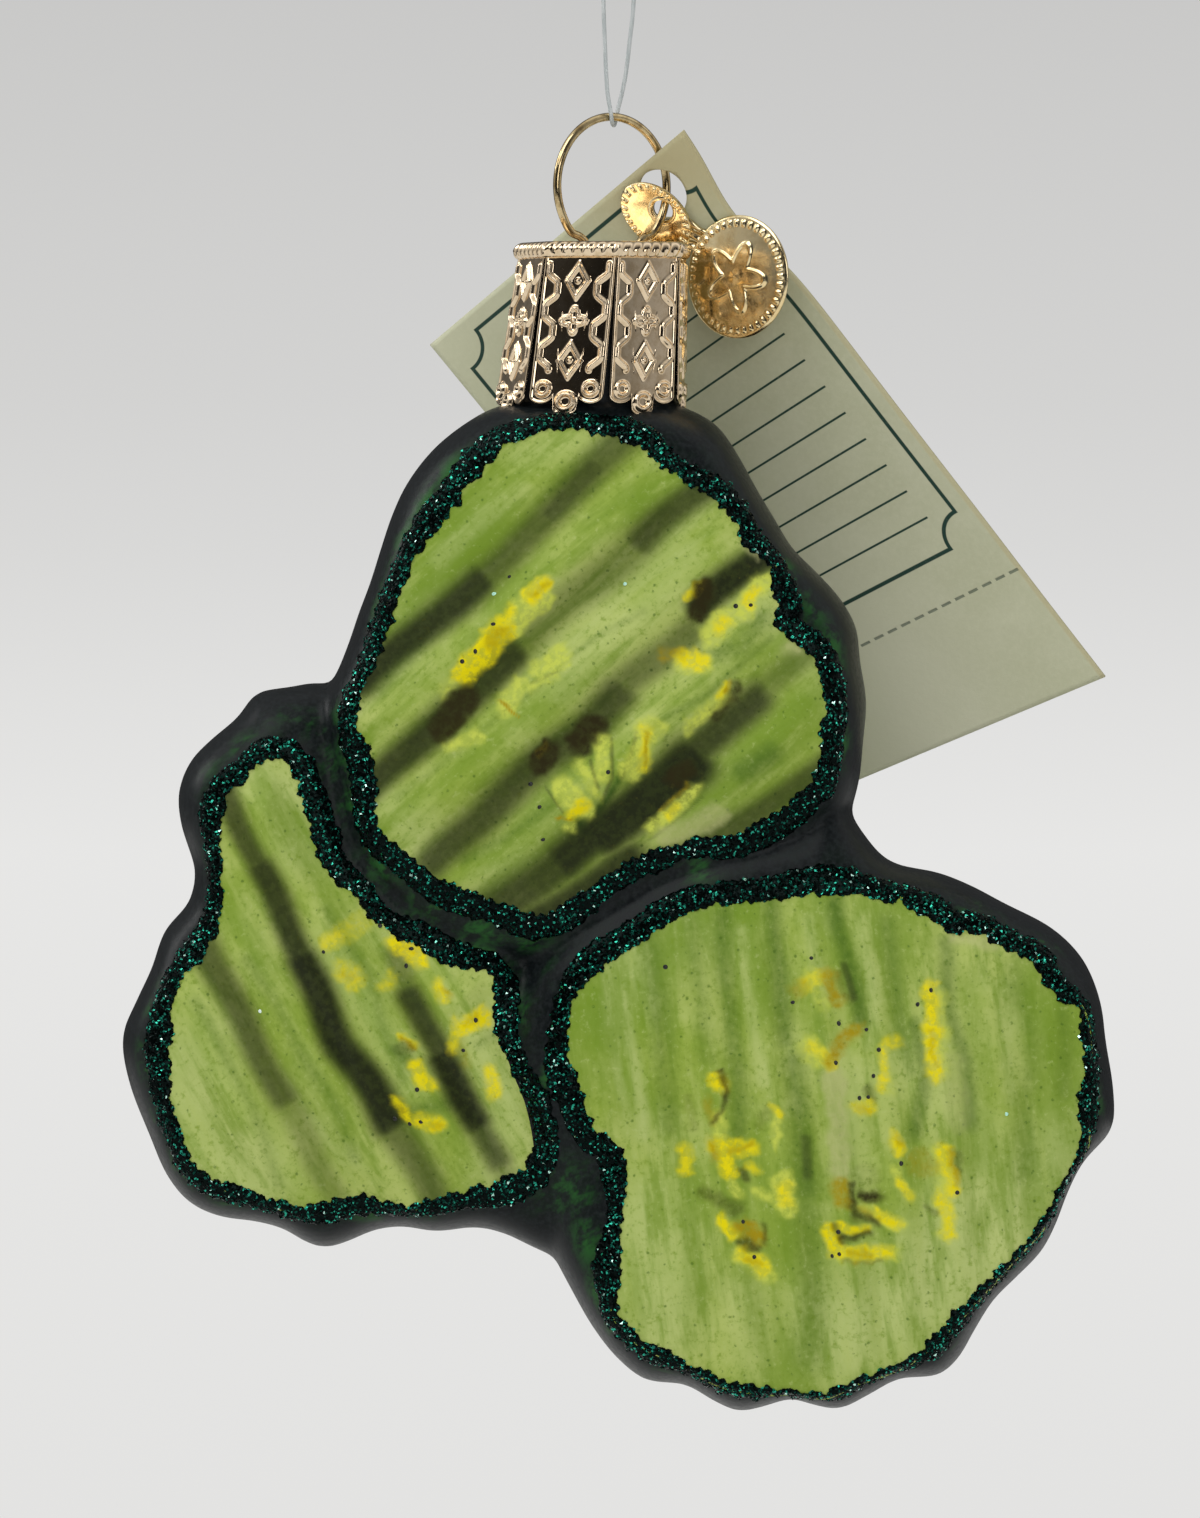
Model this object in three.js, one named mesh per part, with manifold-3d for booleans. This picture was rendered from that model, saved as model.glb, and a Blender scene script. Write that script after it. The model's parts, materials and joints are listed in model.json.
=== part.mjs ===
// Hanging glass ornament: three crinkle cut pickle slices blown in one hollow glass body,
// with a seven sided pressed cap, a sprung wire hanger, a stamped charm, a paper tag and a thread.
// Millimetres, +Z up, front faces -Y. The origin is the seat under the top of the hanger ring.

import * as THREE from 'three';
import { mergeVertices } from 'three/addons/utils/BufferGeometryUtils.js';
import Module from 'manifold-3d';

const wasm = await Module();
wasm.setup();
const rad = THREE.MathUtils.degToRad;

// Hanger wire: a ring above the cap, two legs sprung apart inside the neck
const WIRE_D = 0.6;
const WIRE_SIDES = 8;
const WIRE_STEPS = 64;
const RING_R = 5.0;            // radius of the ring's centre line
const RING_TURN = rad(38);     // the ring's plane is turned about +Z, right side to the rear
const RING_ABOVE_CAP = 4.1;    // ring's centre above the cap's top
const HOLE_REACH = 2.47;       // from the ring's middle line to each hole in the cap
const LEG_WAIST = 2.2;         // half the width where the legs are pinched under the cap
const LEG_SPREAD = 4.1;        // half the width where the legs press on the neck
const LEG_LENGTH = 10.7;       // how far the legs reach below the cap's top
// Points of a leg: share of its width, share of its length, share of its lean to the neck's axis
const LEG_FOOT = [1, 1, 1];
const LEG_CALF = [0.86, 0.7, 1];
const LEG_KNEE = [1.15, 0.36, 0.7];
const LEG_PINCH = [1, 0.16, 0.25];
const LEG_ROOT_OUT = 0.45;     // the ring's wire bends out here, above the cap
const LEG_ROOT_UP = 0.42;
const RING_LOW_ANGLE = rad(-42);            // where the ring's round part ends on each side
const RING_SAMPLES = 14;

// Pressed cap
const CAP_SIDES = 7;
const CAP_FLAT = 6.19;         // from the cap's axis to a flat side
const CAP_WALL = 0.35;
const CAP_SHIFT_X = -1.1;      // the cap's axis against the ring's
const CAP_SHIFT_Y = -1.0;
const CAP_TURN = rad(-17.5);   // the front side is turned to the left
const CAP_SKIRT = 1.3;         // uncut band under the cap's top
const CAP_SHOULDER = 0.45;     // slope round the cap's top edge
const TAB_LENGTH = 10.85;      // from the cap's top to the scallops
const TAB_SLIT = 0.54;         // slit between two tabs
const LOBE_DEPTH = 0.7;        // depth of one scallop
const LOBE_MIDDLE_DROP = 0.9;  // the middle scallop hangs lower
const LOBE_STEPS = 5;
const WIRE_HOLE_CLEARANCE = 0.3;
const ROUND_SIDES = 16;        // sides of small round holes

// Glass neck and wall
const NECK_GAP = 0.4;          // between the neck and the cap
const NECK_WALL = 0.65;
const NECK_SINK = 16;          // how far the neck runs down into the top slice
const GLASS_WALL = 1.1;
const NECK_SIDES = 32;

// Slices: half depth, crown of the face, place of the centre and of the middle plane.
// Ridges run at ridgeTurn to +X, one valley lies ridgeOffset from the centre.
const TOP_SLICE = {
  name: 'top',
  halfDepth: 8.5,
  crown: 1.4,
  dropFromCapTop: 30.0,
  shiftX: 0.25,
  planeY: -1.0,
  ridgeTurn: rad(40.8),
  ridgePitch: 6.5,
  ridgeOffset: -3.1,
  ridgeHeight: 0.5,
  edge: [
    [-4.0, 17.2], [0.0, 17.0], [3.6, 17.2], [7.0, 17.3], [8.4, 16.8], [9.8, 15.0], [11.3, 12.2],
    [12.6, 10.1], [13.8, 8.1], [15.7, 6.2], [17.4, 4.3], [18.4, 2.3], [18.7, -0.1], [19.2, -2.9],
    [18.9, -5.9], [18.6, -9.0], [17.7, -11.4], [15.7, -13.3], [12.4, -15.0], [7.8, -16.8],
    [3.6, -18.6], [0.0, -20.3], [-2.9, -21.7], [-6.1, -22.2], [-9.7, -21.7], [-13.3, -20.0],
    [-16.7, -16.9], [-18.9, -12.8], [-20.0, -7.6], [-19.9, -3.2], [-18.4, -0.6], [-17.6, 1.3],
    [-16.8, 3.2], [-16.0, 5.2], [-15.2, 7.8], [-14.4, 10.1], [-13.3, 12.2], [-11.5, 14.8],
    [-9.4, 16.9], [-7.7, 17.6],
  ],
  face: [
    [-6.2, 14.6], [-2.3, 15.0], [3.2, 14.4], [7.6, 11.9], [10.4, 8.3], [12.6, 4.8], [12.8, 2.2],
    [15.0, 0.3], [16.0, -1.9], [15.9, -5.8], [13.1, -10.4], [6.5, -12.9], [3.2, -14.0],
    [-0.1, -15.9], [-5.0, -18.3], [-11.2, -15.9], [-15.7, -12.1], [-16.3, -7.1], [-17.4, -3.6],
    [-15.1, 2.5], [-12.5, 8.3], [-8.9, 13.0],
  ],
};
const LEFT_SLICE = {
  name: 'left',
  halfDepth: 7.2,
  crown: 1.2,
  dropFromTopSlice: 24.5,
  shiftX: -18.35,
  planeY: -0.9,
  ridgeTurn: rad(-60.6),
  ridgePitch: 6.0,
  ridgeOffset: -1.35,
  ridgeHeight: 0.5,
  edge: [
    [-1.4, 22.8], [-4.0, 22.5], [-6.0, 21.7], [-7.5, 19.9], [-9.4, 18.6], [-10.8, 17.1],
    [-11.7, 15.0], [-11.6, 12.4], [-10.7, 9.5], [-10.9, 7.0], [-12.5, 4.8], [-13.7, 2.3],
    [-14.6, 0.0], [-15.7, -2.7], [-15.5, -5.8], [-14.3, -9.7], [-13.0, -12.6], [-11.2, -14.5],
    [-9.0, -15.6], [-6.4, -15.9], [-4.3, -16.5], [-2.9, -17.4], [-1.4, -17.8], [0.2, -17.4],
    [2.1, -16.6], [4.1, -16.3], [6.6, -16.6], [9.6, -16.3], [12.0, -17.0], [14.5, -18.2],
    [17.1, -18.4], [18.4, -15.8], [18.1, -12.2], [16.9, -7.9], [15.6, -3.6], [15.2, 0.4],
    [12.7, 3.6], [8.1, 6.3], [4.1, 9.5], [1.7, 14.4], [0.5, 20.3],
  ],
  face: [
    [-5.4, 17.4], [-3.5, 16.3], [-2.2, 12.0], [-1.4, 9.4], [0.6, 7.7], [2.6, 5.4], [7.4, 2.7],
    [10.4, 2.0], [10.8, -1.2], [12.5, -5.7], [13.4, -7.7], [13.4, -11.4], [10.8, -13.1],
    [4.5, -14.5], [-3.4, -14.5], [-10.2, -12.2], [-12.4, -7.1], [-12.5, -2.9], [-12.0, 1.2],
    [-9.4, 4.6], [-8.8, 9.1], [-8.6, 14.0], [-6.8, 16.6],
  ],
};
const RIGHT_SLICE = {
  name: 'right',
  halfDepth: 8.5,
  crown: 1.4,
  dropFromTopSlice: 33.8,
  shiftX: 15.85,
  planeY: -1.5,
  ridgeTurn: rad(97.5),
  ridgePitch: 4.05,
  ridgeOffset: 1.25,
  ridgeHeight: 0.25,
  edge: [
    [3.6, 22.3], [5.5, 19.9], [8.6, 18.5], [10.9, 17.6], [13.1, 16.4], [16.6, 14.4], [18.7, 12.1],
    [19.9, 9.2], [20.5, 6.5], [21.1, 2.7], [20.7, 0.0], [18.9, -2.4], [18.0, -4.8], [17.4, -6.6],
    [16.3, -8.8], [14.3, -10.8], [12.8, -12.2], [11.5, -14.7], [10.4, -16.4], [8.5, -17.6],
    [5.6, -17.9], [3.5, -19.0], [1.3, -20.0], [-0.4, -19.7], [-2.2, -19.3], [-4.2, -19.9],
    [-5.9, -20.2], [-7.8, -19.4], [-9.6, -18.3], [-12.5, -17.9], [-14.5, -16.4], [-16.3, -14.3],
    [-17.9, -11.5], [-19.4, -8.4], [-20.7, -4.3], [-22.2, 0.0], [-23.2, 4.9], [-22.8, 9.1],
    [-21.0, 13.0], [-15.8, 17.3], [-8.6, 20.7], [-1.4, 22.9], [1.6, 23.6],
  ],
  face: [
    [-7.9, 16.2], [-3.4, 16.6], [1.7, 17.1], [7.4, 15.5], [9.8, 14.4], [12.6, 13.3], [16.3, 10.4],
    [18.3, 8.6], [18.9, 5.3], [18.6, 2.4], [18.4, -1.3], [16.0, -6.1], [13.4, -9.0],
    [10.6, -12.1], [5.8, -16.4], [0.1, -18.3], [-6.8, -17.9], [-13.0, -14.7], [-14.6, -10.7],
    [-14.0, -2.7], [-16.2, 0.1], [-17.9, 5.3], [-17.4, 10.1], [-12.2, 14.0],
  ],
};
const SPOKES = 48;             // points round a slice
const OUTLINE_STEPS = 12;      // steps of the curve between two outline points
const LEAST_SLOPE = 0.6;       // least width of the slope round a face
const RIDGE_FADE = 4;          // power by which the ridges run out towards the face's rim
const FACE_RINGS = 7;
const CORE_SPOKES = 28;
const CORE_RINGS = 3;
const SHOULDER_REACH = [0, 0.72, 1];        // share of the way from the glitter's rim to the edge
const SHOULDER_HEIGHT = [0.86, 0.5, 0];     // share of the height at the face's rim

// Glitter band glued round each face, front and back
const GLITTER_WIDTH = 2.5;
const GLITTER_SHARE = 0.68;    // widest share of the slope that the band may take
const GLITTER_THICK = 0.35;
const GLITTER_GAP = 0.12;
const GLITTER_CLEARANCE = 0.3;

// Stamped charm: two round lobes joined by a strap that is folded where it meets the cap
const CHARM_THICK = 0.4;
const CHARM_HANG = 1.6;        // height of the charm's hole below the ring's centre
const CHARM_HOLE_R = 0.95;
const SMALL_LOBE_R = 3.0;      // longer half axis, shorter one next
const SMALL_LOBE_SHORT_R = 2.3;
const SMALL_LOBE_AXIS = rad(-45);
const LARGE_LOBE_R = 4.45;
const CHARM_STRAP = 2.4;       // width of the strap, its thickness next
const CHARM_STRAP_THICK = 0.32;
const CHARM_STRAP_ROOT = 0.75; // share of a lobe's short half axis where the strap starts
const SMALL_LOBE_TURN = rad(27);
const SMALL_LOBE_LEAN = rad(24);
const LARGE_LOBE_TURN = rad(36);
const HOLE_FROM_LOBE = [-0.72, -0.52];      // lobe's centre from the hole, along and up the lobe
const NECK_FROM_LOBE = [2.97, -1.85];       // fold from the small lobe's centre
const LARGE_FROM_NECK = [3.61, -2.74];      // large lobe's centre from the fold
const LOBE_SIDES = 24;

// Paper tag: a card that curls, given by its four corners
const TAG_THICK = 0.3;
const TAG_CORNERS = {
  top: [5.1, 0.3, -0.65],
  left: [-13.2, 17.6, -16.2],
  right: [35.6, 4.0, -40.0],
  bottom: [14.2, 13.0, -49.0],
};
const TAG_HOLE_R = 1.8;
const TAG_HOLE_ACROSS = 0.17;  // share of the width from the right edge
const TAG_HOLE_ALONG = 0.062;  // share of the length from the top edge
const TAG_STEPS_ALONG = 16;
const TAG_STEPS_ACROSS = 8;
const TAG_HOLE_SIDES = 24;

// Hanging thread: down one side of the ring wire, under it and up again to the knot
const THREAD_D = 0.3;
const THREAD_SIDES = 8;
const THREAD_ROUTE = [
  [0.28, -0.16, 16.0], [0.02, -0.24, 14.6], [-0.42, -0.34, 12.4], [-0.62, -0.42, 10.2],
  [-0.6, -0.48, 8.0], [-0.52, -0.52, 5.8], [-0.43, -0.56, 3.6], [-0.32, -0.62, 2.0],
  [-0.16, -0.68, 1.0], [-0.06, -0.68, 0.4], [0.0, -0.5, -0.08], [0.12, 0.05, -0.32],
  [0.24, 0.66, -0.06], [0.34, 0.88, 0.4], [0.46, 0.88, 1.0], [0.72, 0.8, 2.0], [1.02, 0.68, 3.6],
  [1.28, 0.56, 5.8], [1.52, 0.48, 8.0], [1.6, 0.4, 10.2], [1.46, 0.3, 12.4], [1.12, 0.2, 14.6],
  [0.92, 0.16, 16.0],
];
const THREAD_STEPS = 66;
const KNOT_R = 0.62;
const KNOT_HEIGHT = 1.5;
const KNOT_GAP = 0.3;
const KNOT_SIDES = 12;
const KNOT_SHAPE = [[0, 0], [0.7, 0], [1, 0.4], [0.75, 0.8], [0, 1]];   // shares of radius and height

// Sizes that follow from the ones above
const RING_Z = -(RING_R - WIRE_D / 2);
const CAP_TOP_Z = RING_Z - RING_ABOVE_CAP;
const CAP_CORNER = CAP_FLAT / Math.cos(Math.PI / CAP_SIDES);
const CAP_WALL_CORNER = CAP_WALL / Math.cos(Math.PI / CAP_SIDES);
const CAP_SIDE = 2 * CAP_FLAT * Math.tan(Math.PI / CAP_SIDES);
const NECK_R = CAP_FLAT - CAP_WALL - NECK_GAP;
const NECK_TOP_Z = CAP_TOP_Z - CAP_WALL - NECK_GAP;
const TOP_CENTRE = [CAP_SHIFT_X + TOP_SLICE.shiftX, CAP_TOP_Z - TOP_SLICE.dropFromCapTop];
const LEFT_CENTRE = [TOP_CENTRE[0] + LEFT_SLICE.shiftX, TOP_CENTRE[1] - LEFT_SLICE.dropFromTopSlice];
const RIGHT_CENTRE = [TOP_CENTRE[0] + RIGHT_SLICE.shiftX, TOP_CENTRE[1] - RIGHT_SLICE.dropFromTopSlice];

const group = new THREE.Group();

function material(color, roughness, metalness, opacity = 1) {
  return new THREE.MeshStandardMaterial({
    color, roughness, metalness, opacity, transparent: opacity < 1,
  });
}

const SLICE_GLASS = material(0x7f9a35, 0.18, 0.0);
const CAP_METAL = material(0xd9c4a8, 0.22, 1.0);
const RING_METAL = material(0xb08d4a, 0.25, 1.0);
const CHARM_METAL = material(0xd9b24c, 0.28, 1.0);
const TAG_CARD = material(0xaab592, 0.9, 0.0);
const THREAD_NYLON = material(0xc8cbc8, 0.4, 0.0);
const GLITTER = material(0x0f4a3a, 0.35, 0.6);

function addPart(name, geometry, finish) {
  const part = new THREE.Mesh(geometry, finish);
  part.name = name;
  group.add(part);
}

// Solids and booleans

const WELD = 1e-5;             // vertices closer than this are one

function toSolid(geometry) {
  const bare = geometry.clone();
  bare.deleteAttribute('normal');
  bare.deleteAttribute('uv');
  const merged = mergeVertices(bare, WELD);
  return new wasm.Manifold(new wasm.Mesh({
    numProp: 3,
    vertProperties: Float32Array.from(merged.attributes.position.array),
    triVerts: Uint32Array.from(merged.index.array),
  }));
}

function toGeometry(solid) {
  const mesh = solid.getMesh();
  const geometry = new THREE.BufferGeometry();
  geometry.setAttribute('position', new THREE.BufferAttribute(mesh.vertProperties, 3));
  geometry.setIndex(new THREE.BufferAttribute(mesh.triVerts, 1));
  geometry.computeVertexNormals();
  return geometry;
}

function join(solids) {
  return solids.reduce((sum, solid) => sum.add(solid));
}

function indexedGeometry(points, faces) {
  const geometry = new THREE.BufferGeometry();
  geometry.setAttribute('position', new THREE.Float32BufferAttribute(points.flat(), 3));
  geometry.setIndex(faces.flat());
  return geometry;
}

// A turned solid about a vertical axis through x, y, from [radius, height] points
function turned(profile, sides, x, y, startAngle = 0) {
  const points = profile.map(([r, z]) => new THREE.Vector2(r, z));
  const geometry = new THREE.LatheGeometry(points, sides);
  geometry.rotateX(Math.PI / 2);
  geometry.rotateZ(startAngle);
  geometry.translate(x, y, 0);
  return toSolid(geometry);
}

function rod(radius, low, high, sides, x, y) {
  return turned([[0, low], [radius, low], [radius, high], [0, high]], sides, x, y);
}

function roundWire(curve, diameter, sides, steps) {
  const section = new THREE.Shape();
  for (let i = 0; i < sides; i += 1) {
    const angle = (2 * Math.PI * i) / sides;
    const x = (diameter / 2) * Math.cos(angle);
    const y = (diameter / 2) * Math.sin(angle);
    if (i === 0) section.moveTo(x, y);
    else section.lineTo(x, y);
  }
  section.closePath();
  return new THREE.ExtrudeGeometry(section, { steps, bevelEnabled: false, extrudePath: curve });
}

// Hanger wire

function ringPlanePoint(along, z) {
  return new THREE.Vector3(along * Math.cos(RING_TURN), along * Math.sin(RING_TURN), z);
}

function ringPointBelowCentre(drop) {
  return ringPlanePoint(Math.sqrt(RING_R ** 2 - drop ** 2), RING_Z - drop);
}

function hangerWire() {
  // The legs lean towards the neck's axis, which stands beside the ring's middle line
  const neckAside = CAP_SHIFT_X * Math.cos(RING_TURN) + CAP_SHIFT_Y * Math.sin(RING_TURN);
  const below = (width, [wide, low, lean]) => [width * wide, -LEG_LENGTH * low, lean];
  const leg = [
    below(LEG_SPREAD, LEG_FOOT), below(LEG_SPREAD, LEG_CALF),
    below(LEG_WAIST, LEG_KNEE), below(LEG_WAIST, LEG_PINCH),
    [HOLE_REACH, 0, 0], [HOLE_REACH + LEG_ROOT_OUT, LEG_ROOT_UP, 0],
  ];
  const points = leg.map(([s, h, lean]) => ringPlanePoint(s + lean * neckAside, CAP_TOP_Z + h));
  const sweep = Math.PI - 2 * RING_LOW_ANGLE;
  for (let i = 0; i <= RING_SAMPLES; i += 1) {
    const angle = RING_LOW_ANGLE + (sweep * i) / RING_SAMPLES;
    points.push(ringPlanePoint(RING_R * Math.cos(angle), RING_Z + RING_R * Math.sin(angle)));
  }
  leg.reverse().forEach(([s, h, lean]) => {
    points.push(ringPlanePoint(lean * neckAside - s, CAP_TOP_Z + h));
  });
  const curve = new THREE.CatmullRomCurve3(points, false, 'centripetal');
  return roundWire(curve, WIRE_D, WIRE_SIDES, WIRE_STEPS);
}

// Cap

function lobeDrop(s, halfWidth) {
  const pitch = (2 * halfWidth) / 3;
  const lobe = Math.min(2, Math.floor((s + halfWidth) / pitch));
  const centre = -halfWidth + pitch * (lobe + 0.5);
  const across = Math.min(1, Math.abs((s - centre) / (pitch / 2)));
  const middle = lobe === 1 ? LOBE_MIDDLE_DROP : 0;
  return middle + LOBE_DEPTH * Math.sqrt(1 - across ** 2);
}

function capTab() {
  const halfWidth = CAP_SIDE / 2 - TAB_SLIT / 2;
  const shape = new THREE.Shape();
  shape.moveTo(-halfWidth, -CAP_SHOULDER);
  const pitch = (2 * halfWidth) / 3;
  for (let lobe = 0; lobe < 3; lobe += 1) {
    for (let i = 0; i <= LOBE_STEPS; i += 1) {
      const inset = i === 0 ? 1e-3 : (i === LOBE_STEPS ? -1e-3 : 0);
      const s = -halfWidth + pitch * (lobe + i / LOBE_STEPS) + inset;
      shape.lineTo(s, -TAB_LENGTH - lobeDrop(s, halfWidth));
    }
  }
  shape.lineTo(halfWidth, -CAP_SHOULDER);
  shape.closePath();
  const plate = new THREE.ExtrudeGeometry(shape, { depth: CAP_WALL, bevelEnabled: false });
  plate.rotateX(Math.PI / 2);
  plate.translate(0, -CAP_FLAT + CAP_WALL, CAP_TOP_Z);
  return plate;
}

function crownCap() {
  const inner = CAP_CORNER - CAP_WALL_CORNER;
  const crown = turned([
    [0, CAP_TOP_Z - CAP_WALL], [inner, CAP_TOP_Z - CAP_WALL], [inner, CAP_TOP_Z - CAP_SKIRT],
    [CAP_CORNER, CAP_TOP_Z - CAP_SKIRT], [CAP_CORNER, CAP_TOP_Z - CAP_SHOULDER],
    [CAP_CORNER - CAP_SHOULDER, CAP_TOP_Z], [0, CAP_TOP_Z],
  ], CAP_SIDES, 0, 0, Math.PI / CAP_SIDES);
  const tabs = [];
  for (let i = 0; i < CAP_SIDES; i += 1) {
    const tab = capTab();
    tab.rotateZ((2 * Math.PI * i) / CAP_SIDES);
    tabs.push(toSolid(tab));
  }
  const turn = (CAP_TURN * 180) / Math.PI;
  const cap = join([crown, ...tabs]).rotate([0, 0, turn]).translate([CAP_SHIFT_X, CAP_SHIFT_Y, 0]);
  const holeR = WIRE_D / 2 + WIRE_HOLE_CLEARANCE;
  const holes = [-HOLE_REACH, HOLE_REACH].map((reach) => {
    const at = ringPlanePoint(reach, CAP_TOP_Z);
    return rod(holeR, CAP_TOP_Z - 2 * CAP_WALL, CAP_TOP_Z + CAP_WALL, ROUND_SIDES, at.x, at.y);
  });
  return cap.subtract(join(holes));
}

// Slices

// Radius of a closed outline about its centre, as a function of the angle
function polarOutline(points) {
  const vectors = points.map(([x, z]) => new THREE.Vector3(x, z, 0));
  const outline = new THREE.CatmullRomCurve3(vectors, true, 'centripetal');
  const dense = outline.getPoints(points.length * OUTLINE_STEPS);
  const polar = dense.map((p) => [Math.atan2(p.y, p.x), Math.hypot(p.x, p.y)]);
  polar.sort((a, b) => a[0] - b[0]);
  const last = polar.length - 1;
  return (angle) => {
    const a = Math.atan2(Math.sin(angle), Math.cos(angle));
    let hi = polar.findIndex((entry) => entry[0] >= a);
    if (hi <= 0) hi = 0;
    const after = polar[hi];
    const before = hi === 0 ? [polar[last][0] - 2 * Math.PI, polar[last][1]] : polar[hi - 1];
    const span = after[0] - before[0];
    const share = span > 0 ? (Math.min(a, after[0]) - before[0]) / span : 0;
    return before[1] + (after[1] - before[1]) * Math.min(1, Math.max(0, share));
  };
}

[TOP_SLICE, LEFT_SLICE, RIGHT_SLICE].forEach((slice) => {
  slice.edgeAt = polarOutline(slice.edge);
  slice.faceAt = polarOutline(slice.face);
});
TOP_SLICE.centre = TOP_CENTRE;
LEFT_SLICE.centre = LEFT_CENTRE;
RIGHT_SLICE.centre = RIGHT_CENTRE;

// Rings of a slice from its middle out: [radius, height above the middle plane] at one angle
function sliceRings(slice, angle, grow, faceRings, ridged) {
  const edge = slice.edgeAt(angle) + grow;
  const face = Math.min(slice.faceAt(angle) + grow, edge - LEAST_SLOPE);
  const rim = face + Math.min(GLITTER_WIDTH, GLITTER_SHARE * (edge - face));
  const shoulder = slice.halfDepth - slice.crown + grow;
  const rings = [];
  for (let j = 1; j <= faceRings; j += 1) {
    const share = j / faceRings;
    const across = Math.sin(angle - slice.ridgeTurn) * face * share;
    const phase = (2 * Math.PI * (across - slice.ridgeOffset)) / slice.ridgePitch;
    const ridge = ridged ? -slice.ridgeHeight * Math.cos(phase) * (1 - share ** RIDGE_FADE) : 0;
    rings.push([face * share, shoulder + slice.crown * (1 - share ** 2) + ridge]);
  }
  SHOULDER_REACH.forEach((reach, k) => {
    rings.push([rim + reach * (edge - rim), shoulder * SHOULDER_HEIGHT[k]]);
  });
  return rings;
}

function slicePoint(slice, angle, radius, height, side) {
  const x = slice.centre[0] + radius * Math.cos(angle);
  const z = slice.centre[1] + radius * Math.sin(angle);
  return [x, slice.planeY + side * height, z];
}

function sliceSolid(slice, grow, spokes, faceRings, ridged) {
  const points = [];
  const faces = [];
  const columns = [];
  for (let i = 0; i < spokes; i += 1) {
    columns.push(sliceRings(slice, (2 * Math.PI * i) / spokes, grow, faceRings, ridged));
  }
  const last = columns[0].length - 1;
  const crest = slice.halfDepth + grow;
  const start = { '-1': 0, 1: 0 };
  [-1, 1].forEach((side) => {
    start[side] = points.length;
    points.push(slicePoint(slice, 0, 0, crest, side));
    for (let j = 0; j < last; j += 1) {
      for (let i = 0; i < spokes; i += 1) {
        const [radius, height] = columns[i][j];
        points.push(slicePoint(slice, (2 * Math.PI * i) / spokes, radius, height, side));
      }
    }
  });
  const equator = points.length;
  for (let i = 0; i < spokes; i += 1) {
    points.push(slicePoint(slice, (2 * Math.PI * i) / spokes, columns[i][last][0], 0, 1));
  }
  const at = (side, j, i) => (j === last ? equator : start[side] + 1 + j * spokes) + (i % spokes);
  const face = (side, a, b, c) => faces.push(side < 0 ? [a, b, c] : [a, c, b]);
  [-1, 1].forEach((side) => {
    for (let i = 0; i < spokes; i += 1) {
      face(side, start[side], at(side, 0, i), at(side, 0, i + 1));
      for (let j = 0; j < last; j += 1) {
        face(side, at(side, j, i), at(side, j + 1, i), at(side, j + 1, i + 1));
        face(side, at(side, j, i), at(side, j + 1, i + 1), at(side, j, i + 1));
      }
    }
  });
  return toSolid(indexedGeometry(points, faces));
}

// Closed band lying on the slope between the face's rim and the glitter's rim
function glitterBand(slice, side, neighbours) {
  const points = [];
  const faces = [];
  for (let i = 0; i < SPOKES; i += 1) {
    const angle = (2 * Math.PI * i) / SPOKES;
    const rings = sliceRings(slice, angle, 0, FACE_RINGS, true);
    const [inner, outer] = [rings[FACE_RINGS - 1], rings[FACE_RINGS]];
    [[inner, 0], [outer, 0], [outer, GLITTER_THICK], [inner, GLITTER_THICK]].forEach(([ring, lift]) => {
      points.push(slicePoint(slice, angle, ring[0], ring[1] + GLITTER_GAP + lift, side));
    });
  }
  for (let i = 0; i < SPOKES; i += 1) {
    const [a, b] = [4 * i, 4 * ((i + 1) % SPOKES)];
    // The lower face repeats the glass facets' diagonal, so that it stays parallel to them
    const quads = [
      [a, b, b + 1], [a, b + 1, a + 1], [a + 1, b + 1, b + 2], [a + 1, b + 2, a + 2],
      [a + 3, a + 2, b + 2], [a + 3, b + 2, b + 3], [a, a + 3, b + 3], [a, b + 3, b],
    ];
    quads.forEach(([p, q, r]) => faces.push(side < 0 ? [p, q, r] : [p, r, q]));
  }
  const band = toSolid(indexedGeometry(points, faces));
  return band.subtract(join(neighbours));
}

function glassBody() {
  const slices = [TOP_SLICE, LEFT_SLICE, RIGHT_SLICE];
  const outside = slices.map((slice) => sliceSolid(slice, 0, SPOKES, FACE_RINGS, true));
  const inside = slices.map((slice) => sliceSolid(slice, -GLASS_WALL, CORE_SPOKES, CORE_RINGS, false));
  const low = NECK_TOP_Z - NECK_SINK;
  const neck = rod(NECK_R, low, NECK_TOP_Z, NECK_SIDES, CAP_SHIFT_X, CAP_SHIFT_Y);
  const bore = rod(NECK_R - NECK_WALL, low, NECK_TOP_Z + NECK_WALL, NECK_SIDES, CAP_SHIFT_X, CAP_SHIFT_Y);
  return join([...outside, neck]).subtract(join([...inside, bore]));
}

// Charm

function lobeFrame(turn, lean) {
  const [side, front] = [-Math.sin(turn), -Math.cos(turn)];
  return {
    along: new THREE.Vector3(-front, side, 0),
    up: new THREE.Vector3(side * Math.sin(lean), front * Math.sin(lean), Math.cos(lean)),
    out: new THREE.Vector3(side * Math.cos(lean), front * Math.cos(lean), -Math.sin(lean)),
  };
}

function inLobe(origin, frame, [along, up]) {
  return origin.clone().addScaledVector(frame.along, along).addScaledVector(frame.up, up);
}

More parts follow.
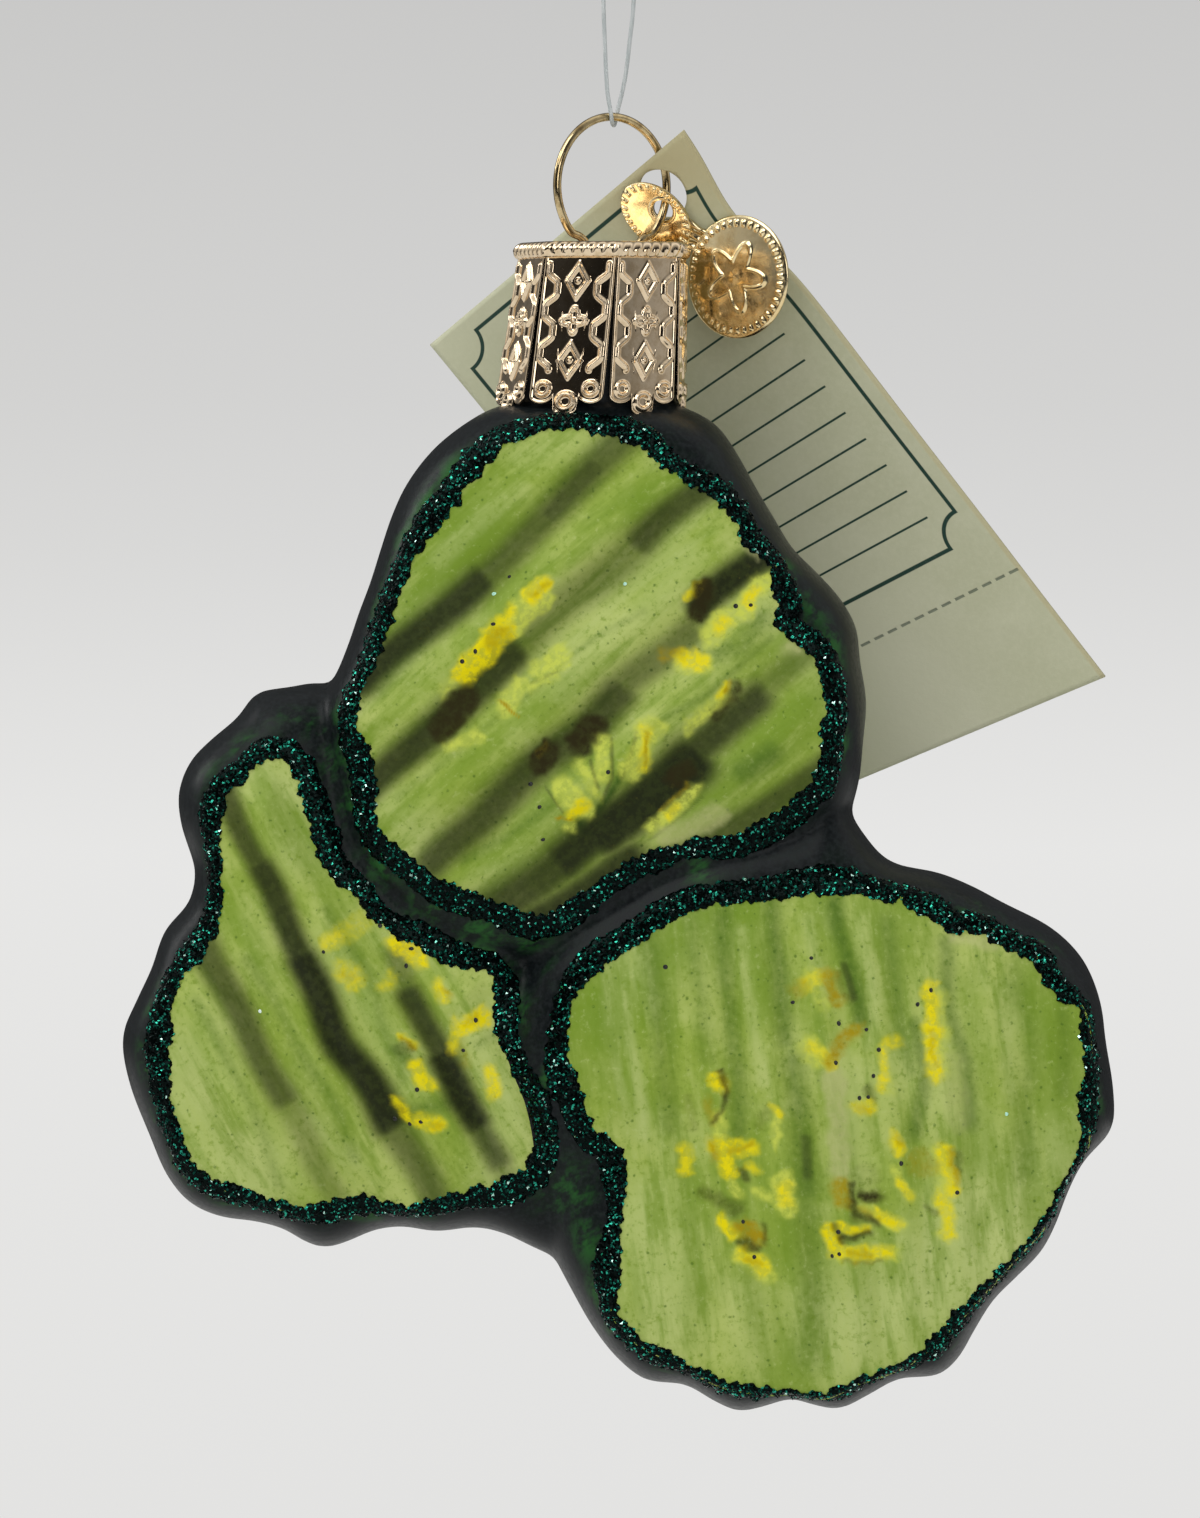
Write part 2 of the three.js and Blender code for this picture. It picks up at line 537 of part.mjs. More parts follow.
// A round plate with a strap that runs from its centre to the fold
function lobePlate(centre, frame, radii, strapTo, holeAt) {
  const place = new THREE.Matrix4().makeBasis(frame.along, frame.up, frame.out);
  place.setPosition(centre);
  const disc = new THREE.Shape();
  disc.absellipse(0, 0, radii[0], radii[1], 0, 2 * Math.PI, false, SMALL_LOBE_AXIS);
  if (holeAt) {
    const hole = new THREE.Path().absarc(holeAt[0], holeAt[1], CHARM_HOLE_R, 0, 2 * Math.PI, true);
    disc.holes.push(hole);
  }
  const reach = Math.hypot(strapTo[0], strapTo[1]);
  const start = radii[1] * CHARM_STRAP_ROOT;
  const strap = new THREE.Shape();
  strap.moveTo(start, -CHARM_STRAP / 2);
  strap.lineTo(reach + CHARM_STRAP_THICK / 2, -CHARM_STRAP / 2);
  strap.lineTo(reach + CHARM_STRAP_THICK / 2, CHARM_STRAP / 2);
  strap.lineTo(start, CHARM_STRAP / 2);
  strap.closePath();
  const strapTurn = Math.atan2(strapTo[1], strapTo[0]);
  const sheets = [[disc, 0, CHARM_THICK], [strap, strapTurn, CHARM_STRAP_THICK]];
  return sheets.map(([shape, turn, thick]) => {
    const options = { depth: thick, bevelEnabled: false, curveSegments: LOBE_SIDES };
    const plate = new THREE.ExtrudeGeometry(shape, options);
    plate.translate(0, 0, -thick / 2);
    plate.rotateZ(turn);
    plate.applyMatrix4(place);
    return toSolid(plate);
  });
}

function charm() {
  const small = lobeFrame(SMALL_LOBE_TURN, SMALL_LOBE_LEAN);
  const large = lobeFrame(LARGE_LOBE_TURN, 0);
  const hole = ringPointBelowCentre(CHARM_HANG);
  const smallCentre = inLobe(hole, small, HOLE_FROM_LOBE);
  const fold = inLobe(smallCentre, small, NECK_FROM_LOBE);
  const largeCentre = inLobe(fold, large, LARGE_FROM_NECK);
  const holeAt = HOLE_FROM_LOBE.map((v) => -v);
  const back = LARGE_FROM_NECK.map((v) => -v);
  return join([
    ...lobePlate(smallCentre, small, [SMALL_LOBE_R, SMALL_LOBE_SHORT_R], NECK_FROM_LOBE, holeAt),
    ...lobePlate(largeCentre, large, [LARGE_LOBE_R, LARGE_LOBE_R], back, null),
  ]);
}

// Tag

function tagPoint(along, across) {
  const c = TAG_CORNERS;
  return [0, 1, 2].map((k) => {
    const top = c.top[k] + (c.left[k] - c.top[k]) * across;
    const end = c.right[k] + (c.bottom[k] - c.right[k]) * across;
    return top + (end - top) * along;
  });
}

function tagNormal(along, across) {
  const step = 1e-3;
  const at = (u, v) => new THREE.Vector3(...tagPoint(u, v));
  const alongWay = at(along + step, across).sub(at(along - step, across));
  const acrossWay = at(along, across + step).sub(at(along, across - step));
  return alongWay.cross(acrossWay).normalize();
}

function hangTag() {
  const points = [];
  const faces = [];
  const row = TAG_STEPS_ACROSS + 1;
  const layer = row * (TAG_STEPS_ALONG + 1);
  [-1, 1].forEach((side) => {
    for (let i = 0; i <= TAG_STEPS_ALONG; i += 1) {
      for (let j = 0; j <= TAG_STEPS_ACROSS; j += 1) {
        const [u, v] = [i / TAG_STEPS_ALONG, j / TAG_STEPS_ACROSS];
        const lift = tagNormal(u, v).multiplyScalar((side * TAG_THICK) / 2);
        const p = tagPoint(u, v);
        points.push([p[0] + lift.x, p[1] + lift.y, p[2] + lift.z]);
      }
    }
  });
  const at = (i, j) => i * row + j;
  for (let i = 0; i < TAG_STEPS_ALONG; i += 1) {
    for (let j = 0; j < TAG_STEPS_ACROSS; j += 1) {
      const [a, b, c, d] = [at(i, j), at(i + 1, j), at(i + 1, j + 1), at(i, j + 1)];
      faces.push([a, c, b], [a, d, c]);
      faces.push([layer + a, layer + b, layer + c], [layer + a, layer + c, layer + d]);
    }
  }
  const wall = (a, b) => faces.push([a, b, layer + b], [a, layer + b, layer + a]);
  for (let i = 0; i < TAG_STEPS_ALONG; i += 1) {
    wall(at(i, 0), at(i + 1, 0));
    wall(at(i + 1, TAG_STEPS_ACROSS), at(i, TAG_STEPS_ACROSS));
  }
  for (let j = 0; j < TAG_STEPS_ACROSS; j += 1) {
    wall(at(0, j + 1), at(0, j));
    wall(at(TAG_STEPS_ALONG, j), at(TAG_STEPS_ALONG, j + 1));
  }
  const card = toSolid(indexedGeometry(points, faces));
  const punch = new THREE.CylinderGeometry(TAG_HOLE_R, TAG_HOLE_R, 6 * TAG_THICK, TAG_HOLE_SIDES);
  const normal = tagNormal(TAG_HOLE_ALONG, TAG_HOLE_ACROSS);
  punch.applyQuaternion(new THREE.Quaternion().setFromUnitVectors(new THREE.Vector3(0, 1, 0), normal));
  punch.translate(...tagPoint(TAG_HOLE_ALONG, TAG_HOLE_ACROSS));
  return card.subtract(toSolid(punch));
}

// Thread and knot

function threadKnot() {
  const start = THREAD_ROUTE[0];
  const end = THREAD_ROUTE[THREAD_ROUTE.length - 1];
  const low = start[2] + KNOT_GAP;
  const profile = KNOT_SHAPE.map(([wide, high]) => [KNOT_R * wide, low + KNOT_HEIGHT * high]);
  return turned(profile, KNOT_SIDES, (start[0] + end[0]) / 2, (start[1] + end[1]) / 2);
}

const threadCurve = new THREE.CatmullRomCurve3(
  THREAD_ROUTE.map((p) => new THREE.Vector3(...p)), false, 'centripetal',
);

// Assembly

addPart('glass_body', toGeometry(glassBody()), SLICE_GLASS);
[[-1, 'front'], [1, 'back']].forEach(([side, word]) => {
  const slices = [TOP_SLICE, LEFT_SLICE, RIGHT_SLICE];
  const grown = slices.map((slice) => sliceSolid(slice, GLITTER_CLEARANCE, SPOKES, FACE_RINGS, false));
  slices.forEach((slice, i) => {
    const others = grown.filter((solid, k) => k !== i);
    addPart(`${slice.name}_${word}_glitter`, toGeometry(glitterBand(slice, side, others)), GLITTER);
  });
});
addPart('crown_cap', toGeometry(crownCap()), CAP_METAL);
addPart('hanger_wire', hangerWire(), RING_METAL);
addPart('charm', toGeometry(charm()), CHARM_METAL);
addPart('hang_tag', toGeometry(hangTag()), TAG_CARD);
addPart('hang_thread', roundWire(threadCurve, THREAD_D, THREAD_SIDES, THREAD_STEPS), THREAD_NYLON);
addPart('thread_knot', toGeometry(threadKnot()), THREAD_NYLON);

export default group;
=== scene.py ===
"""Visual model of a hanging glass ornament.

Three crinkle cut pickle slices are blown as one glass body, painted, and edged with glitter. A pressed
cap and a sprung wire hang it, with a stamped charm, a paper tag and a thread. Metres, +Z up, front -Y.
"""

import json
import logging
import math
from dataclasses import dataclass
from enum import Enum, IntEnum
from functools import cached_property
from typing import Sequence

import bpy
import numpy as np
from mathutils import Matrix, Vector
from mathutils.bvhtree import BVHTree

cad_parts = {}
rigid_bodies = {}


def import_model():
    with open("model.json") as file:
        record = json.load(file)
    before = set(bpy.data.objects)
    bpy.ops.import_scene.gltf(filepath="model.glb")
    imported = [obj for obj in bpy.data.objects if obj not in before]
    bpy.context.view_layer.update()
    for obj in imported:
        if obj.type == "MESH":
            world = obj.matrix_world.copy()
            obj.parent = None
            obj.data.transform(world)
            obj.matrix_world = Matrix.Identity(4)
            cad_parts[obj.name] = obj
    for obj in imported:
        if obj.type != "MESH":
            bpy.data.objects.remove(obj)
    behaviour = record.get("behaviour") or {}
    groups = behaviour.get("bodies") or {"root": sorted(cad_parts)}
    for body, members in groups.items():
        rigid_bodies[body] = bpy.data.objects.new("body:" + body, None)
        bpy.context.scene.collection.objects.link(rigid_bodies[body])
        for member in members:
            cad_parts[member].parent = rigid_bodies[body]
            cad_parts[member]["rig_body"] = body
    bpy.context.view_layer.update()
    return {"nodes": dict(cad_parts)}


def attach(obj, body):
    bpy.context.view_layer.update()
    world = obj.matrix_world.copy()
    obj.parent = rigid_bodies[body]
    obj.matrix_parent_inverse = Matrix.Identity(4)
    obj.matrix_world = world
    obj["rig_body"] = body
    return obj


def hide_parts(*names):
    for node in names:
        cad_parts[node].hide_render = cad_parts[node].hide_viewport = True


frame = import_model()

LOG = logging.getLogger("ornament")

MM = 0.001
TURN = 2 * math.pi
LIFT = 0.03                       # height of the painted faces over the glass, in millimetres
PIXEL = 0.072                     # millimetres that a pixel of the photograph covers at the object
ORIGIN_PIXEL = (612.0, 121.0)     # pixel of the origin, the seat under the hanger ring

Pixel = tuple[float, float]
Colour = tuple[float, float, float]
Shell = tuple[np.ndarray, list]   # points, and the point numbers of each face
Socket = bpy.types.NodeSocket
Thing = bpy.types.Object


class Side(IntEnum):
    """Side of the ornament, by its sign along Y."""

    FRONT = -1
    BACK = 1

    @property
    def word(self) -> str:
        """Give the side's name as the pieces write it."""
        return self.name.lower()


# Small geometry helpers


def at_pixel(x: float, y: float) -> tuple[float, float]:
    """Give the X and Z of a pixel of the photograph, in millimetres."""
    return (x - ORIGIN_PIXEL[0]) * PIXEL, (ORIGIN_PIXEL[1] - y) * PIXEL


def smooth_step(value: np.ndarray, low: float, high: float) -> np.ndarray:
    """Rise smoothly from 0 at low to 1 at high."""
    share = np.clip((value - low) / (high - low), 0.0, 1.0)
    return share * share * (3.0 - 2.0 * share)


def ripple(x: np.ndarray, z: np.ndarray, size: float, seed: int) -> np.ndarray:
    """Make smooth repeatable noise from a few crossing waves.

    Args:
        x: first coordinate in millimetres.
        z: second coordinate in millimetres.
        size: rough width of one bump in millimetres.
        seed: number of the pattern.

    Returns:
        Values between about -1 and 1.
    """
    draw = np.random.default_rng(seed)
    waves = 7
    total = np.zeros(np.broadcast(x, z).shape)
    for _ in range(waves):
        way = draw.uniform(0, TURN)
        pace = TURN * draw.uniform(0.35, 0.8) / size
        total += np.sin(pace * (x * math.cos(way) + z * math.sin(way)) + draw.uniform(0, TURN))
    return total / math.sqrt(waves)


def smooth_curve(points: Sequence[Sequence[float]], closed: bool, steps: int) -> np.ndarray:
    """Draw a centripetal Catmull-Rom curve through points.

    Args:
        points: the points that the curve passes.
        closed: whether it returns to the first point.
        steps: samples between two points.

    Returns:
        The samples, one row each.
    """
    given = np.asarray(points, float)
    if closed:
        padded = np.vstack([given[-1], given, given[:2]])
    else:
        padded = np.vstack([2 * given[0] - given[1], given, 2 * given[-1] - given[-2]])
    samples = []
    for p0, p1, p2, p3 in zip(padded, padded[1:], padded[2:], padded[3:]):
        t1 = np.linalg.norm(p1 - p0) ** 0.5
        t2 = t1 + np.linalg.norm(p2 - p1) ** 0.5
        t3 = t2 + np.linalg.norm(p3 - p2) ** 0.5
        t = np.linspace(t1, t2, steps, endpoint=False)[:, None]
        a1 = (t1 - t) / t1 * p0 + t / t1 * p1
        a2 = (t2 - t) / (t2 - t1) * p1 + (t - t1) / (t2 - t1) * p2
        a3 = (t3 - t) / (t3 - t2) * p2 + (t - t2) / (t3 - t2) * p3
        b1 = (t2 - t) / t2 * a1 + t / t2 * a2
        b2 = (t3 - t) / (t3 - t1) * a2 + (t - t1) / (t3 - t1) * a3
        samples.append((t2 - t) / (t2 - t1) * b1 + (t - t1) / (t2 - t1) * b2)
    if not closed:
        samples.append(given[-1:])
    return np.vstack(samples)


def grid_faces(rows: int, columns: int, wrap: bool) -> np.ndarray:
    """List the quads of a grid of points.

    Args:
        rows: rows of points.
        columns: points in a row.
        wrap: whether a row closes on itself.

    Returns:
        Four point numbers for each quad.
    """
    across = columns if wrap else columns - 1
    i, j = np.meshgrid(np.arange(rows - 1), np.arange(across), indexing="ij")
    beside = (j + 1) % columns
    quads = np.stack([i * columns + j, i * columns + beside,
                      (i + 1) * columns + beside, (i + 1) * columns + j], axis=-1)
    return quads.reshape(-1, 4)


def grid_border(rows: int, columns: int) -> list[int]:
    """List the points on the border of a grid, in order round it.

    Args:
        rows: rows of points.
        columns: points in a row.

    Returns:
        The point numbers.
    """
    right = [row * columns + columns - 1 for row in range(1, rows)]
    bottom = [(rows - 1) * columns + column for column in range(columns - 2, -1, -1)]
    left = [row * columns for row in range(rows - 2, 0, -1)]
    return [*range(columns), *right, *bottom, *left]


def linked(name: str, data: bpy.types.ID) -> Thing:
    """Put an object with its data into the scene."""
    made = bpy.data.objects.new(name, data)
    bpy.context.scene.collection.objects.link(made)
    return made


def make_object(name: str, points: np.ndarray, faces: list) -> Thing:
    """Make a smooth shaded mesh object whose faces point outwards.

    Args:
        name: name of the object.
        points: corners in millimetres.
        faces: point numbers of each face.

    Returns:
        The object, linked to the scene.
    """
    mesh = bpy.data.meshes.new(name)
    mesh.from_pydata((np.asarray(points, float) * MM).tolist(), [], faces)
    mesh.validate()
    turn_outwards(mesh)
    return linked(name, mesh)


def turn_outwards(mesh: bpy.types.Mesh) -> None:
    """Flip the faces of a closed mesh if its volume comes out negative, and shade it smooth."""
    mesh.calc_loop_triangles()
    corners = np.empty(len(mesh.loop_triangles) * 3, np.int32)
    mesh.loop_triangles.foreach_get("vertices", corners)
    places = np.empty(len(mesh.vertices) * 3)
    mesh.vertices.foreach_get("co", places)
    a, b, c = places.reshape(-1, 3)[corners].reshape(-1, 3, 3).transpose(1, 0, 2)
    if np.einsum("ij,ij->i", a, np.cross(b, c)).sum() < 0:
        mesh.flip_normals()
    mesh.shade_smooth()
    mesh.update()


def closed_ring_mesh(loops: Sequence[np.ndarray]) -> Shell:
    """Skin a closed band of loops, the last one joined to the first.

    Args:
        loops: loops of as many points each, in order round the section.

    Returns:
        The points and the faces.
    """
    count = len(loops[0])
    points = np.vstack(list(loops) + [loops[0]])
    faces = grid_faces(len(loops) + 1, count, wrap=True) % (len(loops) * count)
    return points[: len(loops) * count], faces.tolist()


def capped_mesh(loops: Sequence[np.ndarray]) -> Shell:
    """Skin a row of loops and close its two ends with flat faces.

    Args:
        loops: loops of as many points each.

    Returns:
        The points and the faces.
    """
    count = len(loops[0])
    points = np.vstack(loops)
    faces = grid_faces(len(loops), count, wrap=True).tolist()
    faces.append(list(range(count))[::-1])
    faces.append(list(range(len(points) - count, len(points))))
    return points, faces


def joined(parts: Sequence[Shell]) -> Shell:
    """Put several shells into one list of points and one of faces."""
    points = np.zeros((0, 3))
    faces: list = []
    for part_points, part_faces in parts:
        faces += [[corner + len(points) for corner in face] for face in part_faces]
        points = np.vstack([points, part_points])
    return points, faces


def tube(path: np.ndarray, radius: float, sides: int) -> Shell:
    """Skin a round tube along a path, with flat closed ends.

    Args:
        path: points of the centre line in millimetres.
        radius: its radius in millimetres.
        sides: corners of its section.

    Returns:
        The points and the faces.
    """
    steps = np.gradient(path, axis=0)
    steps /= np.linalg.norm(steps, axis=1, keepdims=True)
    side = np.cross(steps[0], (0.0, 0.0, 1.0) if abs(steps[0][2]) < 0.9 else (1.0, 0.0, 0.0))
    rings = []
    angles = np.linspace(0, TURN, sides, endpoint=False)
    for place, way in zip(path, steps):
        side = side - way * np.dot(side, way)
        side /= np.linalg.norm(side)
        other = np.cross(way, side)
        rings.append(place + radius * (np.outer(np.cos(angles), side) + np.outer(np.sin(angles), other)))
    return capped_mesh(rings)


def store(target: Thing, name: str, values: np.ndarray) -> None:
    """Keep one number for each point of a mesh under a name."""
    made = target.data.attributes.new(name, "FLOAT", "POINT")
    made.data.foreach_set("value", np.asarray(values, np.float32).ravel())


# Node trees


class Nodes:
    """Short hand for laying out one node tree."""

    def __init__(self, tree: bpy.types.NodeTree) -> None:
        """Keep the tree that the nodes go into."""
        self.tree = tree

    def add(self, kind: str, inputs: dict | None = None, **settings: object) -> bpy.types.Node:
        """Add a node.

        Args:
            kind: the node's type.
            inputs: values, or sockets to link from, by the name or number of the input.
            settings: the node's own options.

        Returns:
            The node.
        """
        node = self.tree.nodes.new(kind)
        for key, value in settings.items():
            setattr(node, key, value)
        for key, value in (inputs or {}).items():
            if isinstance(value, Socket):
                self.tree.links.new(value, node.inputs[key])
            else:
                node.inputs[key].default_value = value
        return node

    def maths(self, operation: str, first: object, second: object = 0.0) -> Socket:
        """Join two numbers by an operation."""
        return self.add("ShaderNodeMath", {0: first, 1: second}, operation=operation).outputs[0]

    def times(self, first: object, second: object) -> Socket:
        """Multiply two numbers."""
        return self.maths("MULTIPLY", first, second)

    def less(self, first: object, second: object) -> Socket:
        """Take the second number from the first."""
        return self.maths("SUBTRACT", first, second)

    def join(self, *parts: Socket) -> Socket:
        """Put pieces of geometry together."""
        node = self.add("GeometryNodeJoinGeometry")
        for part in parts:
            self.tree.links.new(part, node.inputs[0])
        return node.outputs[0]

    def mix(self, share: object, under: object, over: object) -> Socket:
        """Lay one colour over another.

        Args:
            share: how much of the upper colour shows.
            under: the lower colour.
            over: the upper colour.

        Returns:
            The colour that results.
        """
        under = under if isinstance(under, Socket) else (*under, 1.0)
        over = over if isinstance(over, Socket) else (*over, 1.0)
        node = self.add("ShaderNodeMix", {0: share, 6: under, 7: over}, data_type="RGBA")
        return node.outputs[2]

    def span(self, value: object, low: float, high: float, first: float = 0.0,
             last: float = 1.0) -> Socket:
        """Map a number from one range to another with soft ends.

        Args:
            value: the number.
            low: where the range starts.
            high: where the range ends.
            first: result at its start.
            last: result at its end.

        Returns:
            The mapped number.
        """
        inputs = {"Value": value, "From Min": low, "From Max": high, "To Min": first, "To Max": last}
        return self.add("ShaderNodeMapRange", inputs, interpolation_type="SMOOTHSTEP").outputs[0]

    def noise(self, vector: Socket, scale: float, detail: float = 2.0,
              roughness: float = 0.5) -> Socket:
        """Give soft noise between 0 and 1.

        Args:
            vector: where it is read.
            scale: bumps for each unit of the vector.
            detail: how many finer layers it has.
            roughness: how strong the finer layers are.

        Returns:
            The noise.
        """
        inputs = {"Vector": vector, "Scale": scale, "Detail": detail, "Roughness": roughness}
        return self.add("ShaderNodeTexNoise", inputs).outputs[0]

    def read(self, name: str) -> Socket:
        """Read a number kept on the mesh."""
        return self.add("ShaderNodeAttribute", attribute_name=name).outputs["Fac"]

    def place(self, turn: Sequence[float] = (0.0, 0.0, 0.0),
              stretch: Sequence[float] = (1.0, 1.0, 1.0)) -> Socket:
        """Give the place on the object in millimetres, turned and then stretched.

        Args:
            turn: angles about the axes.
            stretch: factors along the turned axes.

        Returns:
            The place as a vector.
        """
        place = self.add("ShaderNodeTexCoord").outputs["Object"]
        scale = (1 / MM,) * 3
        turned = self.add("ShaderNodeMapping", {"Vector": place, "Rotation": turn, "Scale": scale})
        return self.add("ShaderNodeMapping", {"Vector": turned.outputs[0], "Scale": stretch}).outputs[0]

    def bump(self, height: Socket, depth: float, strength: float) -> Socket:
        """Raise the surface by a height between 0 and 1, depth in millimetres."""
        inputs = {"Height": height, "Distance": depth * MM, "Strength": strength}
        return self.add("ShaderNodeBump", inputs).outputs[0]

    def surface(self, inputs: dict) -> Socket:
        """Add the surface shader with its inputs."""
        return self.add("ShaderNodeBsdfPrincipled", inputs).outputs[0]


class Recipe:
    """A Geometry Nodes tree with named inputs, run once to give a plain mesh."""

    def __init__(self, name: str, inputs: dict[str, str]) -> None:
        """Start a tree.

        Args:
            name: name of the tree.
            inputs: kind of socket by the name of each input after the mesh.
        """
        self.tree = bpy.data.node_groups.new(name, "GeometryNodeTree")
        face = self.tree.interface
        face.new_socket("Mesh", in_out="INPUT", socket_type="NodeSocketGeometry")
        self.keys = {word: face.new_socket(word, in_out="INPUT", socket_type=kind).identifier
                     for word, kind in inputs.items()}
        face.new_socket("Mesh", in_out="OUTPUT", socket_type="NodeSocketGeometry")
        self.nodes = Nodes(self.tree)
        self.given = self.nodes.add("NodeGroupInput").outputs

    def close(self, geometry: Socket) -> None:
        """End the tree with real meshes and the material input."""
        real = self.nodes.add("GeometryNodeRealizeInstances", {"Geometry": geometry}).outputs[0]
        dressed = self.nodes.add("GeometryNodeSetMaterial",
                                 {"Geometry": real, "Material": self.given["Material"]}).outputs[0]
        self.nodes.add("NodeGroupOutput", {"Mesh": dressed})

    def run(self, base: Thing, name: str, values: dict[str, object]) -> Thing:
        """Run the tree on an object and keep the result as a plain mesh.

        Args:
            base: the object that is read, and deleted afterwards.
            name: name of the result.
            values: value of each input.

        Returns:
            The new object.
        """
        modifier = base.modifiers.new("recipe", "NODES")
        modifier.node_group = self.tree
        for word, value in values.items():
            modifier[self.keys[word]] = value
        mesh = plain_mesh(base)
        bpy.data.objects.remove(base)
        mesh.name = name
        return linked(name, mesh)


def plain_mesh(source: Thing) -> bpy.types.Mesh:
    """Give the mesh that an object's modifiers make, and take the modifiers off."""
    bpy.context.view_layer.update()
    graph = bpy.context.evaluated_depsgraph_get()
    mesh = bpy.data.meshes.new_from_object(source.evaluated_get(graph), depsgraph=graph)
    source.modifiers.clear()
    return mesh


# Finishes


MATERIALS: dict["Finish", bpy.types.Material] = {}


@dataclass(frozen=True)
class Finish:
    """A finish with a name; each kind lays out its own nodes."""

    name: str

    def shader(self, nodes: Nodes) -> Socket:
        """Lay out the nodes and return the shader's output."""
        raise NotImplementedError

    def material(self) -> bpy.types.Material:
        """Give the material of this finish, made on its first use."""
        if self not in MATERIALS:
            made = bpy.data.materials.new(self.name)
            made.use_nodes = True
            made.node_tree.nodes.clear()
            nodes = Nodes(made.node_tree)
            nodes.add("ShaderNodeOutputMaterial", {"Surface": self.shader(nodes)})
            MATERIALS[self] = made
        return MATERIALS[self]

    def dress(self, target: Thing) -> None:
        """Put the finish on an object."""
        target.data.materials.clear()
        target.data.materials.append(self.material())


@dataclass(frozen=True)
class SlicePaint(Finish):
    """Satin paint of a slice's face, laid over in strokes that the mesh carries, with painted shade and
    highlight along its ridges.
    """

    ridge_turn: float = 0.0
    leaf: Colour = (0.262, 0.358, 0.052)
    light: Colour = (0.395, 0.470, 0.125)
    deep: Colour = (0.160, 0.260, 0.020)
    wash: Colour = (0.108, 0.212, 0.006)
    pale: Colour = (0.445, 0.515, 0.185)
    moss: Colour = (0.052, 0.118, 0.010)
    # band: the dark bands, painted shade in the ridges' valleys, partly airbrushed paint
    band: Colour = (0.015, 0.020, 0.005)
    lime: Colour = (0.510, 0.570, 0.080)
    lemon: Colour = (0.720, 0.620, 0.001)
    # ochre and brown: partly painted shadow beside the seeds, partly the seeds' brown paint
    ochre: Colour = (0.340, 0.250, 0.001)
    brown: Colour = (0.024, 0.019, 0.003)
    beige: Colour = (0.460, 0.470, 0.200)

    def shader(self, nodes: Nodes) -> Socket:
        """Mix the greens, then the strokes from the lowest to the highest."""
        turn = (0.0, self.ridge_turn, 0.0)
        even = nodes.place(turn)
        drawn = nodes.place(turn, (0.16, 1.0, 1.0))
        cloud = nodes.noise(even, 0.16, 4.0, 0.6)
        streak = nodes.noise(drawn, 0.7, 4.0, 0.6)
        # painted shade and highlight: soft dark and pale stripes along the ridges
        furrow = nodes.noise(nodes.place(turn, (0.10, 1.0, 1.0)), 0.30, 3.0, 0.55)
        grain = nodes.noise(even, 2.2, 4.0, 0.65)
        colour = nodes.mix(nodes.span(cloud, 0.38, 0.64), self.leaf, self.light)
        colour = nodes.mix(nodes.times(nodes.read("wash"), 0.8), colour, self.wash)
        colour = nodes.mix(nodes.times(nodes.read("pale"), 0.8), colour, self.pale)
        for veil, low, high, most, tint in (
                (furrow, 0.50, 0.68, 0.62, self.deep), (furrow, 0.44, 0.30, 0.42, self.pale),
                (streak, 0.46, 0.70, 0.70, self.deep), (streak, 0.48, 0.28, 0.45, self.light),
                (grain, 0.50, 0.74, 0.68, self.deep), (grain, 0.44, 0.26, 0.36, self.pale)):
            colour = nodes.mix(nodes.span(veil, low, high, 0.0, most), colour, tint)
        speck = nodes.add("ShaderNodeTexVoronoi", {"Vector": even, "Scale": 1.5}).outputs["Distance"]
        chosen = nodes.times(nodes.span(speck, 0.24, 0.10), nodes.span(grain, 0.46, 0.58))
        colour = nodes.mix(nodes.times(chosen, 0.60), colour, self.moss)
        blot = nodes.noise(even, 1.7, 3.0, 0.6)
        for word, tint, ragged, uneven in (
                ("moss", self.moss, 0.30, 0.15), ("band", self.band, 0.05, 0.04),
                ("beige", self.beige, 0.36, 0.30), ("lime", self.lime, 0.30, 0.50),
                ("lemon", self.lemon, 0.42, 0.45), ("ochre", self.ochre, 0.42, 0.40),
                ("brown", self.brown, 0.30, 0.20)):
            worn = nodes.maths("MULTIPLY_ADD", grain, ragged)
            worn.node.inputs[2].default_value = -ragged / 2
            edge = nodes.maths("ADD", nodes.read(word), worn)
            patchy = nodes.span(blot, 0.62, 0.40, 1 - uneven, 1.0)
            share = nodes.times(nodes.span(edge, 0.02, 0.98), patchy)
            colour = nodes.mix(share, colour, tint)
        return nodes.surface({
            "Base Color": colour,
            "Roughness": 0.46,
            "Specular IOR Level": 0.10,
            "Normal": nodes.bump(grain, 0.04, 0.5),
        })


@dataclass(frozen=True)
class RimLacquer(Finish):
    """Dark lacquer of the slices' sides, greener beside the glitter, where thin lacquer shows the green
    glass with a painted glow of light through it.
    """

    dark: Colour = (0.0036, 0.0052, 0.0060)
    soft: Colour = (0.0110, 0.0140, 0.0155)
    # green glass under thin lacquer, with a painted glow of light through it
    glass: Colour = (0.016, 0.088, 0.016)

    def shader(self, nodes: Nodes) -> Socket:
        """Mix the lacquer's greens, lay the painted glow in streaks and give it a soft sheen."""
        place = nodes.place()
        cloud = nodes.noise(place, 0.22, 3.0, 0.6)
        fine = nodes.noise(place, 3.0, 3.0, 0.6)
        colour = nodes.mix(nodes.span(fine, 0.35, 0.75), self.dark, self.soft)
        brushed = nodes.noise(nodes.place((0.0, 0.6, 0.0), (0.5, 1.0, 1.0)), 0.9, 3.0, 0.6)
        # painted glow: light through the green glass, in streaks beside the glitter
        clear = nodes.times(nodes.read("glow"), nodes.span(brushed, 0.42, 0.62, 0.08, 1.0))
        colour = nodes.mix(clear, colour, self.glass)
        return nodes.surface({
            "Base Color": colour,
            "Roughness": nodes.span(fine, 0.3, 0.8, 0.30, 0.46),
            "Specular IOR Level": 0.13,
            "Normal": nodes.bump(cloud, 0.25, 0.35),
        })


